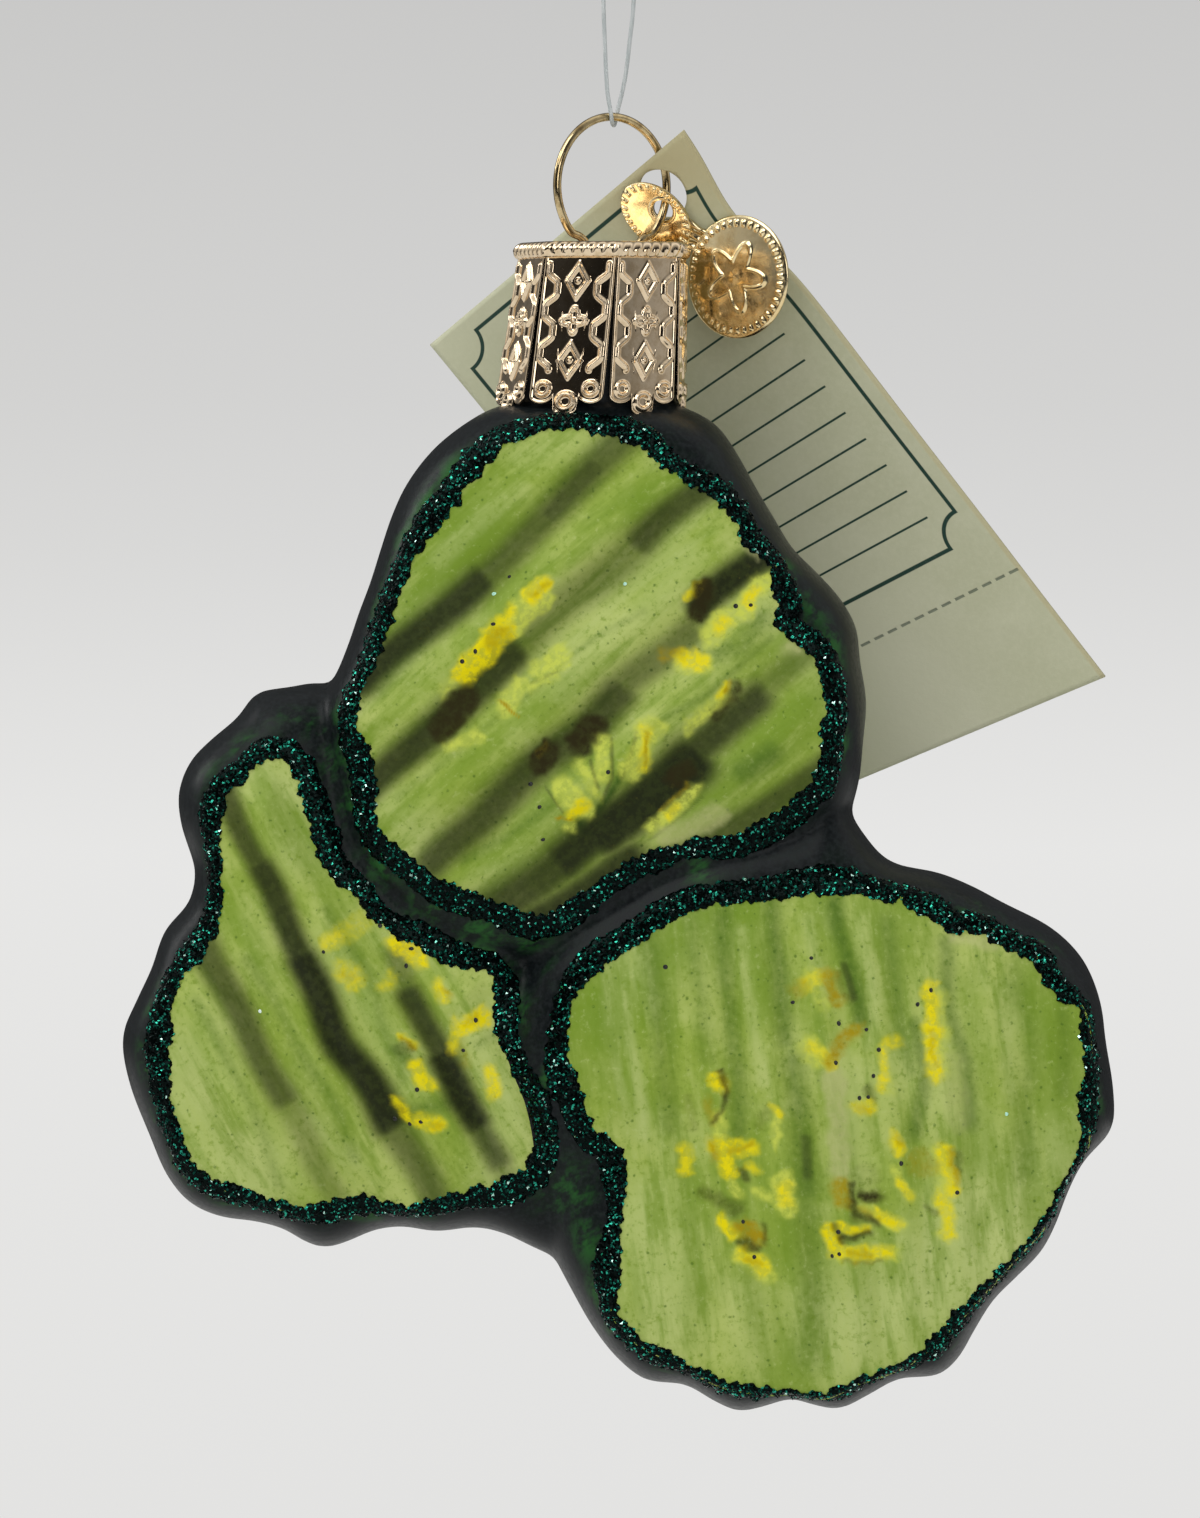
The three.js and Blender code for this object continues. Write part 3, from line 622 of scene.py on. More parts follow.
@dataclass(frozen=True)
class Glitter(Finish):
    """Near black green flakes in glue; the few bright and mint ones are partly paler flakes, partly painted
    glints.
    """

    dark: Colour = (0.0016, 0.0050, 0.0042)
    teal: Colour = (0.003, 0.060, 0.042)
    bright: Colour = (0.030, 0.420, 0.290)
    mint: Colour = (0.600, 0.980, 0.860)

    def shader(self, nodes: Nodes) -> Socket:
        """Pick the colour of a flake by its tone."""
        tone = nodes.read("tone")
        colour = nodes.mix(nodes.span(tone, 0.66, 0.70), self.dark, self.teal)
        # bright and mint tones: partly paler flakes, partly painted glints on a few flakes
        colour = nodes.mix(nodes.span(tone, 0.88, 0.91), colour, self.bright)
        colour = nodes.mix(nodes.span(tone, 0.986, 0.992), colour, self.mint)
        return nodes.surface({
            "Base Color": colour,
            "Metallic": 0.85,
            "Roughness": 0.20,
            "Specular IOR Level": 0.25,
        })


@dataclass(frozen=True)
class PressedMetal(Finish):
    """Thin plated metal with fine rubbing and darker plating in the hollows."""

    bright: Colour = (0.88, 0.71, 0.50)
    dull: Colour = (0.72, 0.55, 0.35)
    roughness: float = 0.065
    grain: float = 1.3
    dent: float = 0.010
    rub: float = 0.17             # how much duller the raised parts are

    def shader(self, nodes: Nodes) -> Socket:
        """Vary the plating's colour and gloss over the piece."""
        place = nodes.place()
        cloud = nodes.noise(place, self.grain, 4.0, 0.6)
        fine = nodes.noise(place, 5.0, 2.0, 0.6)
        rubbed = nodes.span(nodes.read("raised"), 0.35, 0.95)
        colour = nodes.mix(nodes.span(cloud, 0.38, 0.68), self.bright, self.dull)
        colour = nodes.mix(rubbed, colour, self.bright)
        gloss = nodes.span(fine, 0.3, 0.75, self.roughness * 0.75, self.roughness * 1.7)
        gloss = nodes.maths("ADD", gloss, nodes.times(rubbed, self.rub))
        return nodes.surface({
            "Base Color": colour,
            "Metallic": 1.0,
            "Roughness": gloss,
            "Normal": nodes.bump(cloud, self.dent, 0.6),
        })


@dataclass(frozen=True)
class PrintedCard(Finish):
    """Sage card with a printed frame, blank ruled lines, a torn line and soft creases."""

    card: Colour = (0.490, 0.500, 0.335)
    # worn: paler card tone, used for fibre mottling and as painted light on the lower part
    worn: Colour = (0.620, 0.620, 0.460)
    aged: Colour = (0.420, 0.370, 0.205)
    ink: Colour = (0.012, 0.045, 0.032)
    length: float = 49.9
    width: float = 28.0
    inset: float = 1.55
    frame_end: float = 36.3
    notch: float = 2.3
    line: float = 0.30
    rule_pitch: float = 2.45
    rule: float = 0.16
    rules_from: float = 10.0
    rules_inset: float = 2.2
    tear_at: float = 39.9

    def shader(self, nodes: Nodes) -> Socket:
        """Draw the print from the card's own map, which is in millimetres."""
        card = nodes.add("ShaderNodeUVMap", uv_map="card_mm").outputs[0]
        split = nodes.add("ShaderNodeSeparateXYZ", {0: card})
        along, across = split.outputs[0], split.outputs[1]
        fibre = nodes.noise(nodes.place(), 2.2, 5.0, 0.7)
        cloud = nodes.noise(nodes.place(), 0.18, 2.0)
        colour = nodes.mix(nodes.span(fibre, 0.35, 0.75, 0.0, 0.30), self.card, self.worn)
        colour = nodes.mix(nodes.span(cloud, 0.42, 0.68, 0.0, 0.25), colour, self.worn)
        corner = nodes.maths("ADD", along, nodes.times(across, 0.6))
        # browner near the top corner and in a line along the long edge on the hole's side
        colour = nodes.mix(nodes.span(corner, 10.0, 2.0, 0.0, 0.80), colour, self.aged)
        colour = nodes.mix(nodes.span(across, 0.45, 0.20, 0.0, 0.70), colour, self.aged)
        # painted light: paler towards the far long edge and over the lower middle, lifting the shade that
        # the slices cast on the card
        colour = nodes.mix(nodes.span(across, 14.0, 27.0, 0.0, 0.40), colour, self.worn)
        lower = nodes.times(nodes.span(along, 20.0, 42.0), nodes.span(across, 3.0, 18.0, 0.0, 0.90))
        colour = nodes.mix(lower, colour, self.worn)
        frame_line, rules = self.frame_line(nodes, along, across), self.rules(nodes, along, across)
        ink = nodes.maths("MAXIMUM", frame_line, rules)
        ink = nodes.times(ink, nodes.span(fibre, 0.2, 0.45, 0.8, 1.0))
        colour = nodes.mix(ink, colour, self.ink)
        tear = self.tear(nodes, along, across)
        colour = nodes.mix(nodes.times(tear, 0.65), colour, self.ink)
        height = nodes.less(fibre, nodes.times(tear, 3.0))
        return nodes.surface({
            "Base Color": colour,
            "Roughness": 0.72,
            "Specular IOR Level": 0.35,
            "Normal": nodes.bump(height, 0.04, 0.6),
        })

    def outside(self, nodes: Nodes, value: Socket, centre: float, half: float) -> Socket:
        """Give how far a value lies past half to either side of the centre."""
        return nodes.less(nodes.maths("ABSOLUTE", nodes.less(value, centre)), half)

    def frame_line(self, nodes: Nodes, along: Socket, across: Socket) -> Socket:
        """Draw the frame, a rectangle whose corners are scooped out by circles."""
        half_long = (self.frame_end - self.inset) / 2
        half_wide = self.width / 2 - self.inset
        a = self.outside(nodes, along, self.inset + half_long, half_long)
        b = self.outside(nodes, across, self.width / 2, half_wide)
        box = nodes.maths("MAXIMUM", a, b)
        reach = nodes.maths("SQRT", nodes.maths("ADD", nodes.times(a, a), nodes.times(b, b)))
        shape = nodes.maths("MAXIMUM", box, nodes.less(self.notch, reach))
        return nodes.span(nodes.maths("ABSOLUTE", shape), self.line * 0.65, self.line * 0.4)

    def rules(self, nodes: Nodes, along: Socket, across: Socket) -> Socket:
        """Draw blank ruled lines inside the frame, across the card."""
        start = nodes.less(along, self.inset + self.rule_pitch)
        saw = nodes.maths("PINGPONG", start, self.rule_pitch / 2)
        line = nodes.span(saw, self.rule * 0.65, self.rule * 0.4)
        middle = (self.frame_end + self.rules_from) / 2
        half_long = middle - self.rules_from - self.rule_pitch * 0.4
        half_wide = self.width / 2 - self.inset - self.rules_inset
        room = nodes.maths("MAXIMUM", self.outside(nodes, along, middle, half_long),
                           self.outside(nodes, across, self.width / 2, half_wide))
        return nodes.times(line, nodes.span(room, 0.05, -0.05))

    def tear(self, nodes: Nodes, along: Socket, across: Socket) -> Socket:
        """Draw the short cuts of the line along which the stub tears off."""
        near = nodes.span(self.outside(nodes, along, self.tear_at, 0.0), 0.14, 0.07)
        dash = nodes.span(nodes.maths("PINGPONG", across, 0.65), 0.20, 0.26)
        return nodes.times(near, dash)


@dataclass(frozen=True)
class Nylon(Finish):
    """Clear grey nylon thread."""

    grey: Colour = (0.50, 0.54, 0.54)
    pale: Colour = (0.66, 0.69, 0.69)

    def shader(self, nodes: Nodes) -> Socket:
        """Give a glossy thread that lets part of the light through."""
        streak = nodes.noise(nodes.place((0.0, 0.0, 0.0), (1.0, 1.0, 0.15)), 4.0, 2.0)
        colour = nodes.mix(nodes.span(streak, 0.35, 0.7), self.grey, self.pale)
        return nodes.surface({
            "Base Color": colour,
            "Roughness": 0.22,
            "Transmission Weight": 0.35,
            "IOR": 1.45,
        })


@dataclass(frozen=True)
class LooseFlake(Finish):
    """A single loose glitter flake, painted pale as a glint."""

    mint: Colour = (0.45, 0.80, 0.62)
    white: Colour = (0.80, 0.92, 0.86)

    def shader(self, nodes: Nodes) -> Socket:
        """Vary the flake from mint to white."""
        fine = nodes.noise(nodes.place(), 0.8, 2.0)
        colour = nodes.mix(nodes.span(fine, 0.4, 0.6), self.mint, self.white)
        return nodes.surface({"Base Color": colour, "Roughness": 0.25, "Metallic": 0.2})


@dataclass(frozen=True)
class Enamel(Finish):
    """One dark drop of enamel."""

    colour: Colour = (0.006, 0.006, 0.004)
    worn: Colour = (0.016, 0.020, 0.008)

    def shader(self, nodes: Nodes) -> Socket:
        """Vary the drop's gloss a little."""
        fine = nodes.noise(nodes.place(), 6.0, 2.0)
        colour = nodes.mix(nodes.span(fine, 0.4, 0.7, 0.0, 0.5), self.colour, self.worn)
        return nodes.surface({"Base Color": colour, "Roughness": 0.3})


# Slices


class Outline:
    """A closed outline given by X and Y of pixels in turn, with a table of the distances to it."""

    STEP = 0.3    # between two places of the table, in millimetres
    ROOM = 4.0    # how far the table reaches past the outline

    def __init__(self, pixels: Sequence[int]) -> None:
        """Draw the outline and fill the table of distances, positive inside."""
        curve = smooth_curve(np.reshape(pixels, (-1, 2)), True, 8)
        self.curve = np.stack(at_pixel(curve[:, 0], curve[:, 1]), axis=-1)
        self.low = self.curve.min(axis=0) - self.ROOM
        high = self.curve.max(axis=0) + self.ROOM
        across = np.arange(self.low[0], high[0], self.STEP)
        up = np.arange(self.low[1], high[1], self.STEP)
        ends = np.roll(self.curve, -1, axis=0)
        rows = [self.measure(across, height, ends) for height in up]
        self.table = np.array(rows)

    def measure(self, x: np.ndarray, height: float, ends: np.ndarray) -> np.ndarray:
        """Measure one row of the table.

        Args:
            x: places along the row.
            height: its height.
            ends: end of each side of the outline.

        Returns:
            The distances, positive inside.
        """
        start, way = self.curve, ends - self.curve
        off_x = x[:, None] - start[:, 0]
        off_z = height - start[:, 1]
        share = np.clip((off_x * way[:, 0] + off_z * way[:, 1]) / (way ** 2).sum(axis=1), 0, 1)
        near = np.hypot(off_x - share * way[:, 0], off_z - share * way[:, 1]).min(axis=1)
        spans = (start[:, 1] > height) != (ends[:, 1] > height)
        rise = np.where(spans, way[:, 1], 1.0)
        cross = start[:, 0] + off_z / rise * way[:, 0]
        inside = (spans & (x[:, None] < cross)).sum(axis=1) % 2 == 1
        return np.where(inside, near, -near)

    def distance(self, x: np.ndarray, z: np.ndarray) -> np.ndarray:
        """Read the distance to the outline at places, positive inside."""
        rows, columns = self.table.shape
        i = np.clip((z - self.low[1]) / self.STEP, 0, rows - 1.001)
        j = np.clip((x - self.low[0]) / self.STEP, 0, columns - 1.001)
        i0, j0 = i.astype(int), j.astype(int)
        a, b = i - i0, j - j0
        table = self.table
        low = table[i0, j0] * (1 - b) + table[i0, j0 + 1] * b
        high = table[i0 + 1, j0] * (1 - b) + table[i0 + 1, j0 + 1] * b
        return low * (1 - a) + high * a

    def reach(self, middle: tuple[float, float], angle: np.ndarray) -> np.ndarray:
        """Give the radius of the outline about a middle at each angle."""
        x, z = self.curve[:, 0] - middle[0], self.curve[:, 1] - middle[1]
        turn = np.arctan2(z, x)
        order = np.argsort(turn)
        return np.interp(angle, turn[order], np.hypot(x, z)[order], period=TURN)

    def even(self, count: int) -> tuple[np.ndarray, np.ndarray]:
        """Give evenly spaced places along the outline and the smoothed ways out of it."""
        closed = np.vstack([self.curve, self.curve[:1]])
        run = np.concatenate([[0.0], np.cumsum(np.linalg.norm(np.diff(closed, axis=0), axis=1))])
        at = np.linspace(0, run[-1], count, endpoint=False)
        places = np.stack([np.interp(at, run, closed[:, 0]), np.interp(at, run, closed[:, 1])], axis=-1)
        gap = 6
        way = np.roll(places, -gap, axis=0) - np.roll(places, gap, axis=0)
        out = np.stack([way[:, 1], -way[:, 0]], axis=-1)
        out /= np.linalg.norm(out, axis=1, keepdims=True)
        probe = places + out * 0.5
        if self.distance(probe[:, 0], probe[:, 1]).mean() > 0:
            out = -out
        return places, out


class Tint(Enum):
    """Paints of the strokes on a slice, by the name that the mesh keeps them under."""

    WASH = "wash"
    PALE = "pale"
    MOSS = "moss"
    # painted shade in the ridges' valleys, partly airbrushed paint
    BAND = "band"
    BEIGE = "beige"
    LIME = "lime"
    LEMON = "lemon"
    # ochre and brown strokes are partly painted shadow beside the seeds, partly their brown paint
    OCHRE = "ochre"
    BROWN = "brown"


@dataclass(frozen=True)
class Slice:
    """One pickle slice: its outline, its crown and ridges in millimetres, and its paint."""

    name: str
    centre: Pixel
    edge: Sequence[int]           # places in the photograph, X and Y in turn, as in face, dots, flecks
    face: Sequence[int]
    half_depth: float
    crown: float
    plane_y: float
    ridge_turn: float
    ridge_pitch: float
    ridge_offset: float
    ridge_height: float
    strokes: dict[Tint, Sequence[Sequence[float]]]
    dots: Sequence[int]
    flecks: Sequence[int]

    @property
    def middle(self) -> tuple[float, float]:
        """Give the X and Z of the slice's centre."""
        return at_pixel(*self.centre)

    @cached_property
    def border(self) -> Outline:
        """Give the outline of the whole slice."""
        return Outline(self.edge)

    @cached_property
    def flat(self) -> Outline:
        """Give the outline of its painted face."""
        return Outline(self.face)

    def height(self, x: np.ndarray, z: np.ndarray, ridged: bool = True) -> np.ndarray:
        """Give the height of the surface over the middle plane.

        Args:
            x: places along X in millimetres.
            z: places along Z in millimetres.
            ridged: whether the crinkle cut's ridges are in it.

        Returns:
            The height in millimetres, 0 outside the slice.
        """
        inward = self.flat.distance(x, z)
        room = np.maximum(self.border.distance(x, z), 0.0)
        shoulder = self.half_depth - self.crown
        share = 1 - np.clip(inward / self.flat.table.max(), 0.0, 1.0)
        off_x, off_z = x - self.middle[0], z - self.middle[1]
        across = off_z * math.cos(self.ridge_turn) - off_x * math.sin(self.ridge_turn)
        wave = np.cos(TURN * (across - self.ridge_offset) / self.ridge_pitch)
        top = shoulder + self.crown * (1 - share ** 2)
        if ridged:
            top = top - self.ridge_height * wave * (1 - share ** 5)
        past = np.maximum(-inward, 0.0)
        slope = past / np.maximum(past + room, 1e-6)
        return np.where(inward >= 0, top, shoulder * (1 - slope ** 2.2) ** (1 / 2.2))

    def spot(self, angle: np.ndarray, radius: np.ndarray) -> tuple[np.ndarray, np.ndarray]:
        """Give X and Z of places about the centre."""
        return self.middle[0] + radius * np.cos(angle), self.middle[1] + radius * np.sin(angle)

    def point(self, x: np.ndarray, z: np.ndarray, height: np.ndarray, side: int) -> np.ndarray:
        """Give places in the object's frame at a height over the middle plane."""
        return np.stack([x, self.plane_y + side * height, z], axis=-1)


# Outlines of the slices and of their painted faces: places in the photograph, X and Y in turn
TOP_EDGE = (
    545, 400, 600, 398, 650, 400, 690, 410, 717, 426, 736, 452, 757, 490, 775, 520, 792, 548, 818, 574,
    841, 600, 856, 628, 860, 662, 866, 700, 863, 742, 858, 785, 846, 818, 818, 845, 772, 868, 708, 893,
    650, 918, 600, 942, 560, 962, 515, 968, 465, 962, 415, 938, 368, 895, 338, 838, 322, 765, 323, 705,
    340, 666, 350, 640, 359, 613, 370, 584, 381, 549, 392, 516, 407, 484, 434, 449, 468, 422, 497, 407,
)
TOP_FACE = (
    514, 443, 568, 430, 606, 437, 644, 451, 667, 472, 706, 495, 733, 522, 744, 545, 765, 564, 775, 594,
    778, 629, 809, 656, 822, 686, 821, 740, 813, 778, 782, 805, 740, 832, 690, 839, 644, 855, 599, 881,
    564, 904, 530, 914, 499, 901, 445, 881, 411, 855, 382, 828, 377, 790, 373, 759, 357, 724, 359, 702,
    377, 663, 390, 625, 403, 587, 426, 545, 457, 506, 488, 464,
)
LEFT_EDGE = (
    325, 684, 290, 687, 256, 694, 238, 717, 212, 739, 191, 761, 179, 792, 182, 828, 195, 868, 190, 900,
    165, 931, 152, 968, 138, 998, 123, 1036, 129, 1080, 150, 1135, 168, 1176, 190, 1202, 220, 1216,
    256, 1221, 285, 1229, 305, 1241, 325, 1247, 348, 1241, 374, 1230, 402, 1226, 436, 1231, 478, 1227,
    512, 1236, 546, 1253, 582, 1255, 600, 1220, 596, 1170, 580, 1110, 562, 1050, 556, 995, 522, 950,
    458, 912, 402, 868, 368, 800, 352, 718,
)
LEFT_FACE = (
    270, 759, 290, 765, 302, 794, 314, 834, 325, 870, 353, 893, 381, 925, 416, 945, 448, 963, 490, 972,
    495, 1016, 503, 1048, 519, 1079, 531, 1107, 531, 1158, 495, 1182, 448, 1192, 408, 1202, 353, 1194,
    298, 1204, 250, 1188, 203, 1170, 185, 1142, 173, 1099, 171, 1040, 179, 984, 207, 953, 223, 913,
    223, 874, 223, 818, 231, 794, 250, 775,
)
RIGHT_EDGE = (
    858, 826, 888, 860, 940, 873, 972, 886, 1002, 902, 1053, 929, 1083, 960, 1100, 1002, 1105, 1040,
    1113, 1092, 1111, 1128, 1082, 1162, 1066, 1194, 1056, 1221, 1041, 1250, 1014, 1278, 993, 1299,
    973, 1331, 958, 1357, 938, 1374, 898, 1378, 868, 1394, 838, 1408, 814, 1404, 790, 1398, 762, 1406,
    738, 1410, 712, 1399, 686, 1384, 646, 1379, 618, 1358, 594, 1328, 572, 1290, 550, 1246, 532, 1190,
    512, 1130, 498, 1062, 504, 1004, 528, 950, 600, 890, 700, 842, 800, 812, 842, 802,
)
RIGHT_FACE = (
    710, 905, 773, 899, 844, 893, 888, 901, 923, 915, 949, 931, 983, 933, 995, 945, 1026, 958, 1046, 986,
    1074, 1010, 1082, 1057, 1078, 1097, 1078, 1148, 1062, 1176, 1042, 1215, 1006, 1255, 967, 1298,
    935, 1330, 900, 1358, 856, 1374, 821, 1389, 765, 1384, 726, 1378, 678, 1354, 639, 1334, 619, 1310,
    617, 1279, 623, 1215, 625, 1168, 615, 1140, 595, 1128, 583, 1097, 571, 1057, 567, 1026, 579, 990,
    607, 962, 651, 935, 678, 915,
)


# Strokes of paint by their tint: width in pixels, cover in hundredths, then X and Y of the pixels it passes.
# The band strokes are painted shade in the ridges' valleys, partly airbrushed paint

# The brown and ochre strokes beside the seeds are partly painted shadow of the seeds, partly their brown
# paint
TOP_STROKES = {
    Tint.WASH: (
        (70, 80, 392, 640, 430, 590, 480, 530), (34, 70, 640, 500, 700, 470), (26, 35, 470, 640, 540, 560),
        (60, 65, 690, 800, 760, 750, 815, 700), (40, 45, 500, 870, 560, 810),
    ),
    Tint.PALE: (
        (40, 55, 520, 452, 600, 436), (16, 40, 440, 560, 520, 490), (26, 50, 560, 690, 640, 610, 690, 560),
        (46, 60, 385, 800, 430, 850), (30, 50, 470, 900, 520, 860), (24, 50, 770, 620, 800, 660),
    ),
    Tint.MOSS: (
        (26, 45, 420, 640, 380, 690), (10, 35, 400, 800, 520, 700, 640, 610), (16, 45, 470, 860, 560, 800),
        (8, 85, 598, 812, 609, 794, 621, 770), (12, 90, 583, 822, 588, 830),
        (26, 50, 700, 660, 742, 648, 764, 620), (9, 40, 640, 736, 700, 700, 770, 640),
        (26, 60, 742, 770, 770, 752), (8, 30, 560, 520, 600, 484),
    ),
    Tint.BAND: (
        (38, 86, 350, 696, 391, 655, 452, 606, 494, 572), (30, 72, 540, 528, 562, 502, 604, 460),
        (38, 64, 466, 596, 513, 557, 562, 502, 623, 441, 660, 406),
        (38, 82, 360, 796, 420, 744, 462, 706, 499, 666, 524, 643),
        (44, 50, 500, 664, 565, 606, 611, 566, 660, 524), (38, 74, 630, 550, 660, 524, 726, 476),
        (42, 76, 424, 874, 494, 803, 545, 760, 587, 728, 632, 684), (38, 60, 596, 714, 642, 672, 700, 620),
        (34, 95, 690, 612, 728, 582, 772, 548), (48, 78, 480, 926, 548, 872, 580, 848),
        (48, 92, 546, 874, 600, 832, 624, 812), (54, 105, 590, 846, 650, 796, 706, 752),
        (38, 80, 676, 772, 733, 718, 770, 688), (32, 45, 746, 706, 830, 630),
        (40, 85, 520, 930, 600, 884, 650, 850), (32, 70, 640, 872, 690, 852, 758, 812, 834, 760),
        (5, 55, 590, 756, 601, 785), (5, 50, 584, 748, 572, 764), (5, 55, 610, 736, 613, 772, 604, 798),
        (5, 50, 622, 776, 640, 726), (4, 45, 654, 774, 668, 736), (4, 50, 546, 786, 566, 812),
        (4, 45, 452, 686, 472, 680), (4, 40, 494, 696, 506, 716), (4, 40, 528, 684, 560, 672),
        (4, 40, 520, 652, 536, 664), (5, 45, 684, 738, 730, 690), (4, 45, 650, 842, 700, 798),
    ),
    Tint.BEIGE: (
        (26, 55, 668, 836, 718, 816), (12, 70, 748, 545, 756, 552), (14, 55, 786, 646, 796, 652),
    ),
    Tint.LIME: (
        (26, 90, 513, 624, 541, 598), (22, 85, 541, 668, 562, 657), (12, 70, 530, 690, 553, 676),
        (20, 80, 505, 706, 520, 686), (15, 75, 452, 746, 478, 736), (13, 70, 446, 694, 452, 684),
        (25, 85, 630, 770, 652, 728), (18, 85, 601, 774, 604, 742), (12, 80, 580, 763, 597, 794),
        (25, 90, 562, 788, 578, 804), (13, 75, 564, 794, 565, 780), (13, 85, 651, 829, 694, 790),
        (13, 95, 688, 728, 724, 696), (25, 85, 711, 637, 724, 620), (23, 90, 742, 610, 760, 585),
        (22, 70, 683, 664, 704, 664), (13, 95, 583, 812, 588, 812), (9, 90, 568, 828, 574, 828),
    ),
    Tint.LEMON: (
        (15, 100, 531, 597, 546, 584), (12, 75, 498, 620, 512, 610), (25, 100, 464, 674, 503, 631),
        (13, 85, 461, 676, 468, 672), (11, 75, 643, 766, 648, 730), (15, 95, 572, 815, 581, 806),
        (8, 70, 667, 816, 676, 806), (8, 85, 718, 695, 727, 687), (14, 85, 719, 629, 724, 624),
        (15, 85, 748, 602, 754, 596), (19, 85, 683, 658, 700, 661), (6, 75, 684, 600, 700, 583),
    ),
    Tint.OCHRE: (
        (9, 55, 534, 594, 548, 583), (18, 60, 492, 645, 503, 633), (4, 90, 500, 701, 517, 714),
        (5, 70, 644, 764, 648, 732), (4, 80, 556, 816, 572, 821), (5, 50, 661, 810, 687, 784),
        (7, 80, 537, 754, 548, 747), (17, 60, 664, 655, 676, 654), (6, 80, 724, 692, 732, 684),
        (6, 70, 693, 594, 704, 584),
    ),
    Tint.BROWN: (
        (30, 80, 442, 728, 466, 700), (31, 98, 580, 740, 592, 728), (26, 95, 540, 762, 549, 753),
        (22, 85, 704, 588, 696, 616), (22, 80, 674, 778, 686, 770), (12, 75, 712, 720, 738, 688),
    ),
}
LEFT_STROKES = {
    Tint.WASH: (
        (40, 35, 226, 900, 262, 960), (34, 40, 300, 1060, 340, 1150), (14, 45, 340, 950, 400, 1060),
    ),
    Tint.PALE: (
        (50, 80, 262, 776, 292, 800, 306, 850), (50, 55, 500, 1020, 514, 1110, 490, 1170),
        (90, 75, 190, 1060, 200, 1130, 250, 1180), (34, 45, 330, 960, 370, 1010, 400, 1080),
    ),
    Tint.MOSS: (
        (18, 40, 250, 960, 300, 1040, 360, 1150), (16, 35, 196, 1000, 250, 1100, 280, 1180),
        (14, 35, 330, 910, 380, 1000, 400, 1080), (18, 55, 395, 1052, 408, 1064),
        (14, 35, 478, 1044, 492, 1036), (22, 50, 404, 1112, 452, 1102),
    ),
    Tint.BAND: (
        (34, 68, 202, 936, 250, 1034, 290, 1108), (34, 44, 276, 1082, 317, 1157, 344, 1206),
        (28, 74, 222, 784, 262, 866, 284, 914), (32, 84, 258, 858, 294, 930, 322, 994),
        (35, 96, 300, 946, 316, 982, 343, 1044, 386, 1110, 398, 1128),
        (34, 62, 376, 1094, 406, 1140, 440, 1204), (26, 52, 388, 946, 424, 1014),
        (30, 80, 404, 982, 420, 1008, 456, 1084), (34, 96, 436, 1048, 468, 1104, 484, 1132),
        (32, 70, 470, 1108, 502, 1170), (30, 48, 486, 1140, 514, 1194),
    ),
    Tint.LEMON: (
        (20, 60, 330, 942, 338, 936), (22, 40, 346, 932, 362, 924), (24, 55, 345, 970, 356, 980),
        (16, 50, 384, 982, 392, 976), (20, 100, 398, 940, 418, 956), (14, 75, 438, 984, 444, 998),
        (16, 95, 465, 1026, 484, 1014), (13, 65, 459, 1022, 453, 1048), (9, 70, 399, 1036, 416, 1042),
        (16, 90, 416, 1066, 430, 1084), (17, 80, 491, 1072, 494, 1090), (13, 85, 399, 1101, 410, 1115),
        (15, 90, 421, 1118, 438, 1123),
    ),
    Tint.OCHRE: (
        (12, 40, 348, 972, 356, 978), (10, 40, 402, 946, 414, 952), (9, 50, 446, 990, 450, 996),
        (7, 45, 466, 1024, 478, 1014), (8, 70, 401, 1039, 414, 1044), (12, 35, 462, 1040, 466, 1060),
        (7, 50, 432, 1122, 440, 1124), (6, 50, 399, 1104, 406, 1112),
    ),
    Tint.BROWN: (
        (13, 50, 402, 1048, 412, 1046),
    ),
}
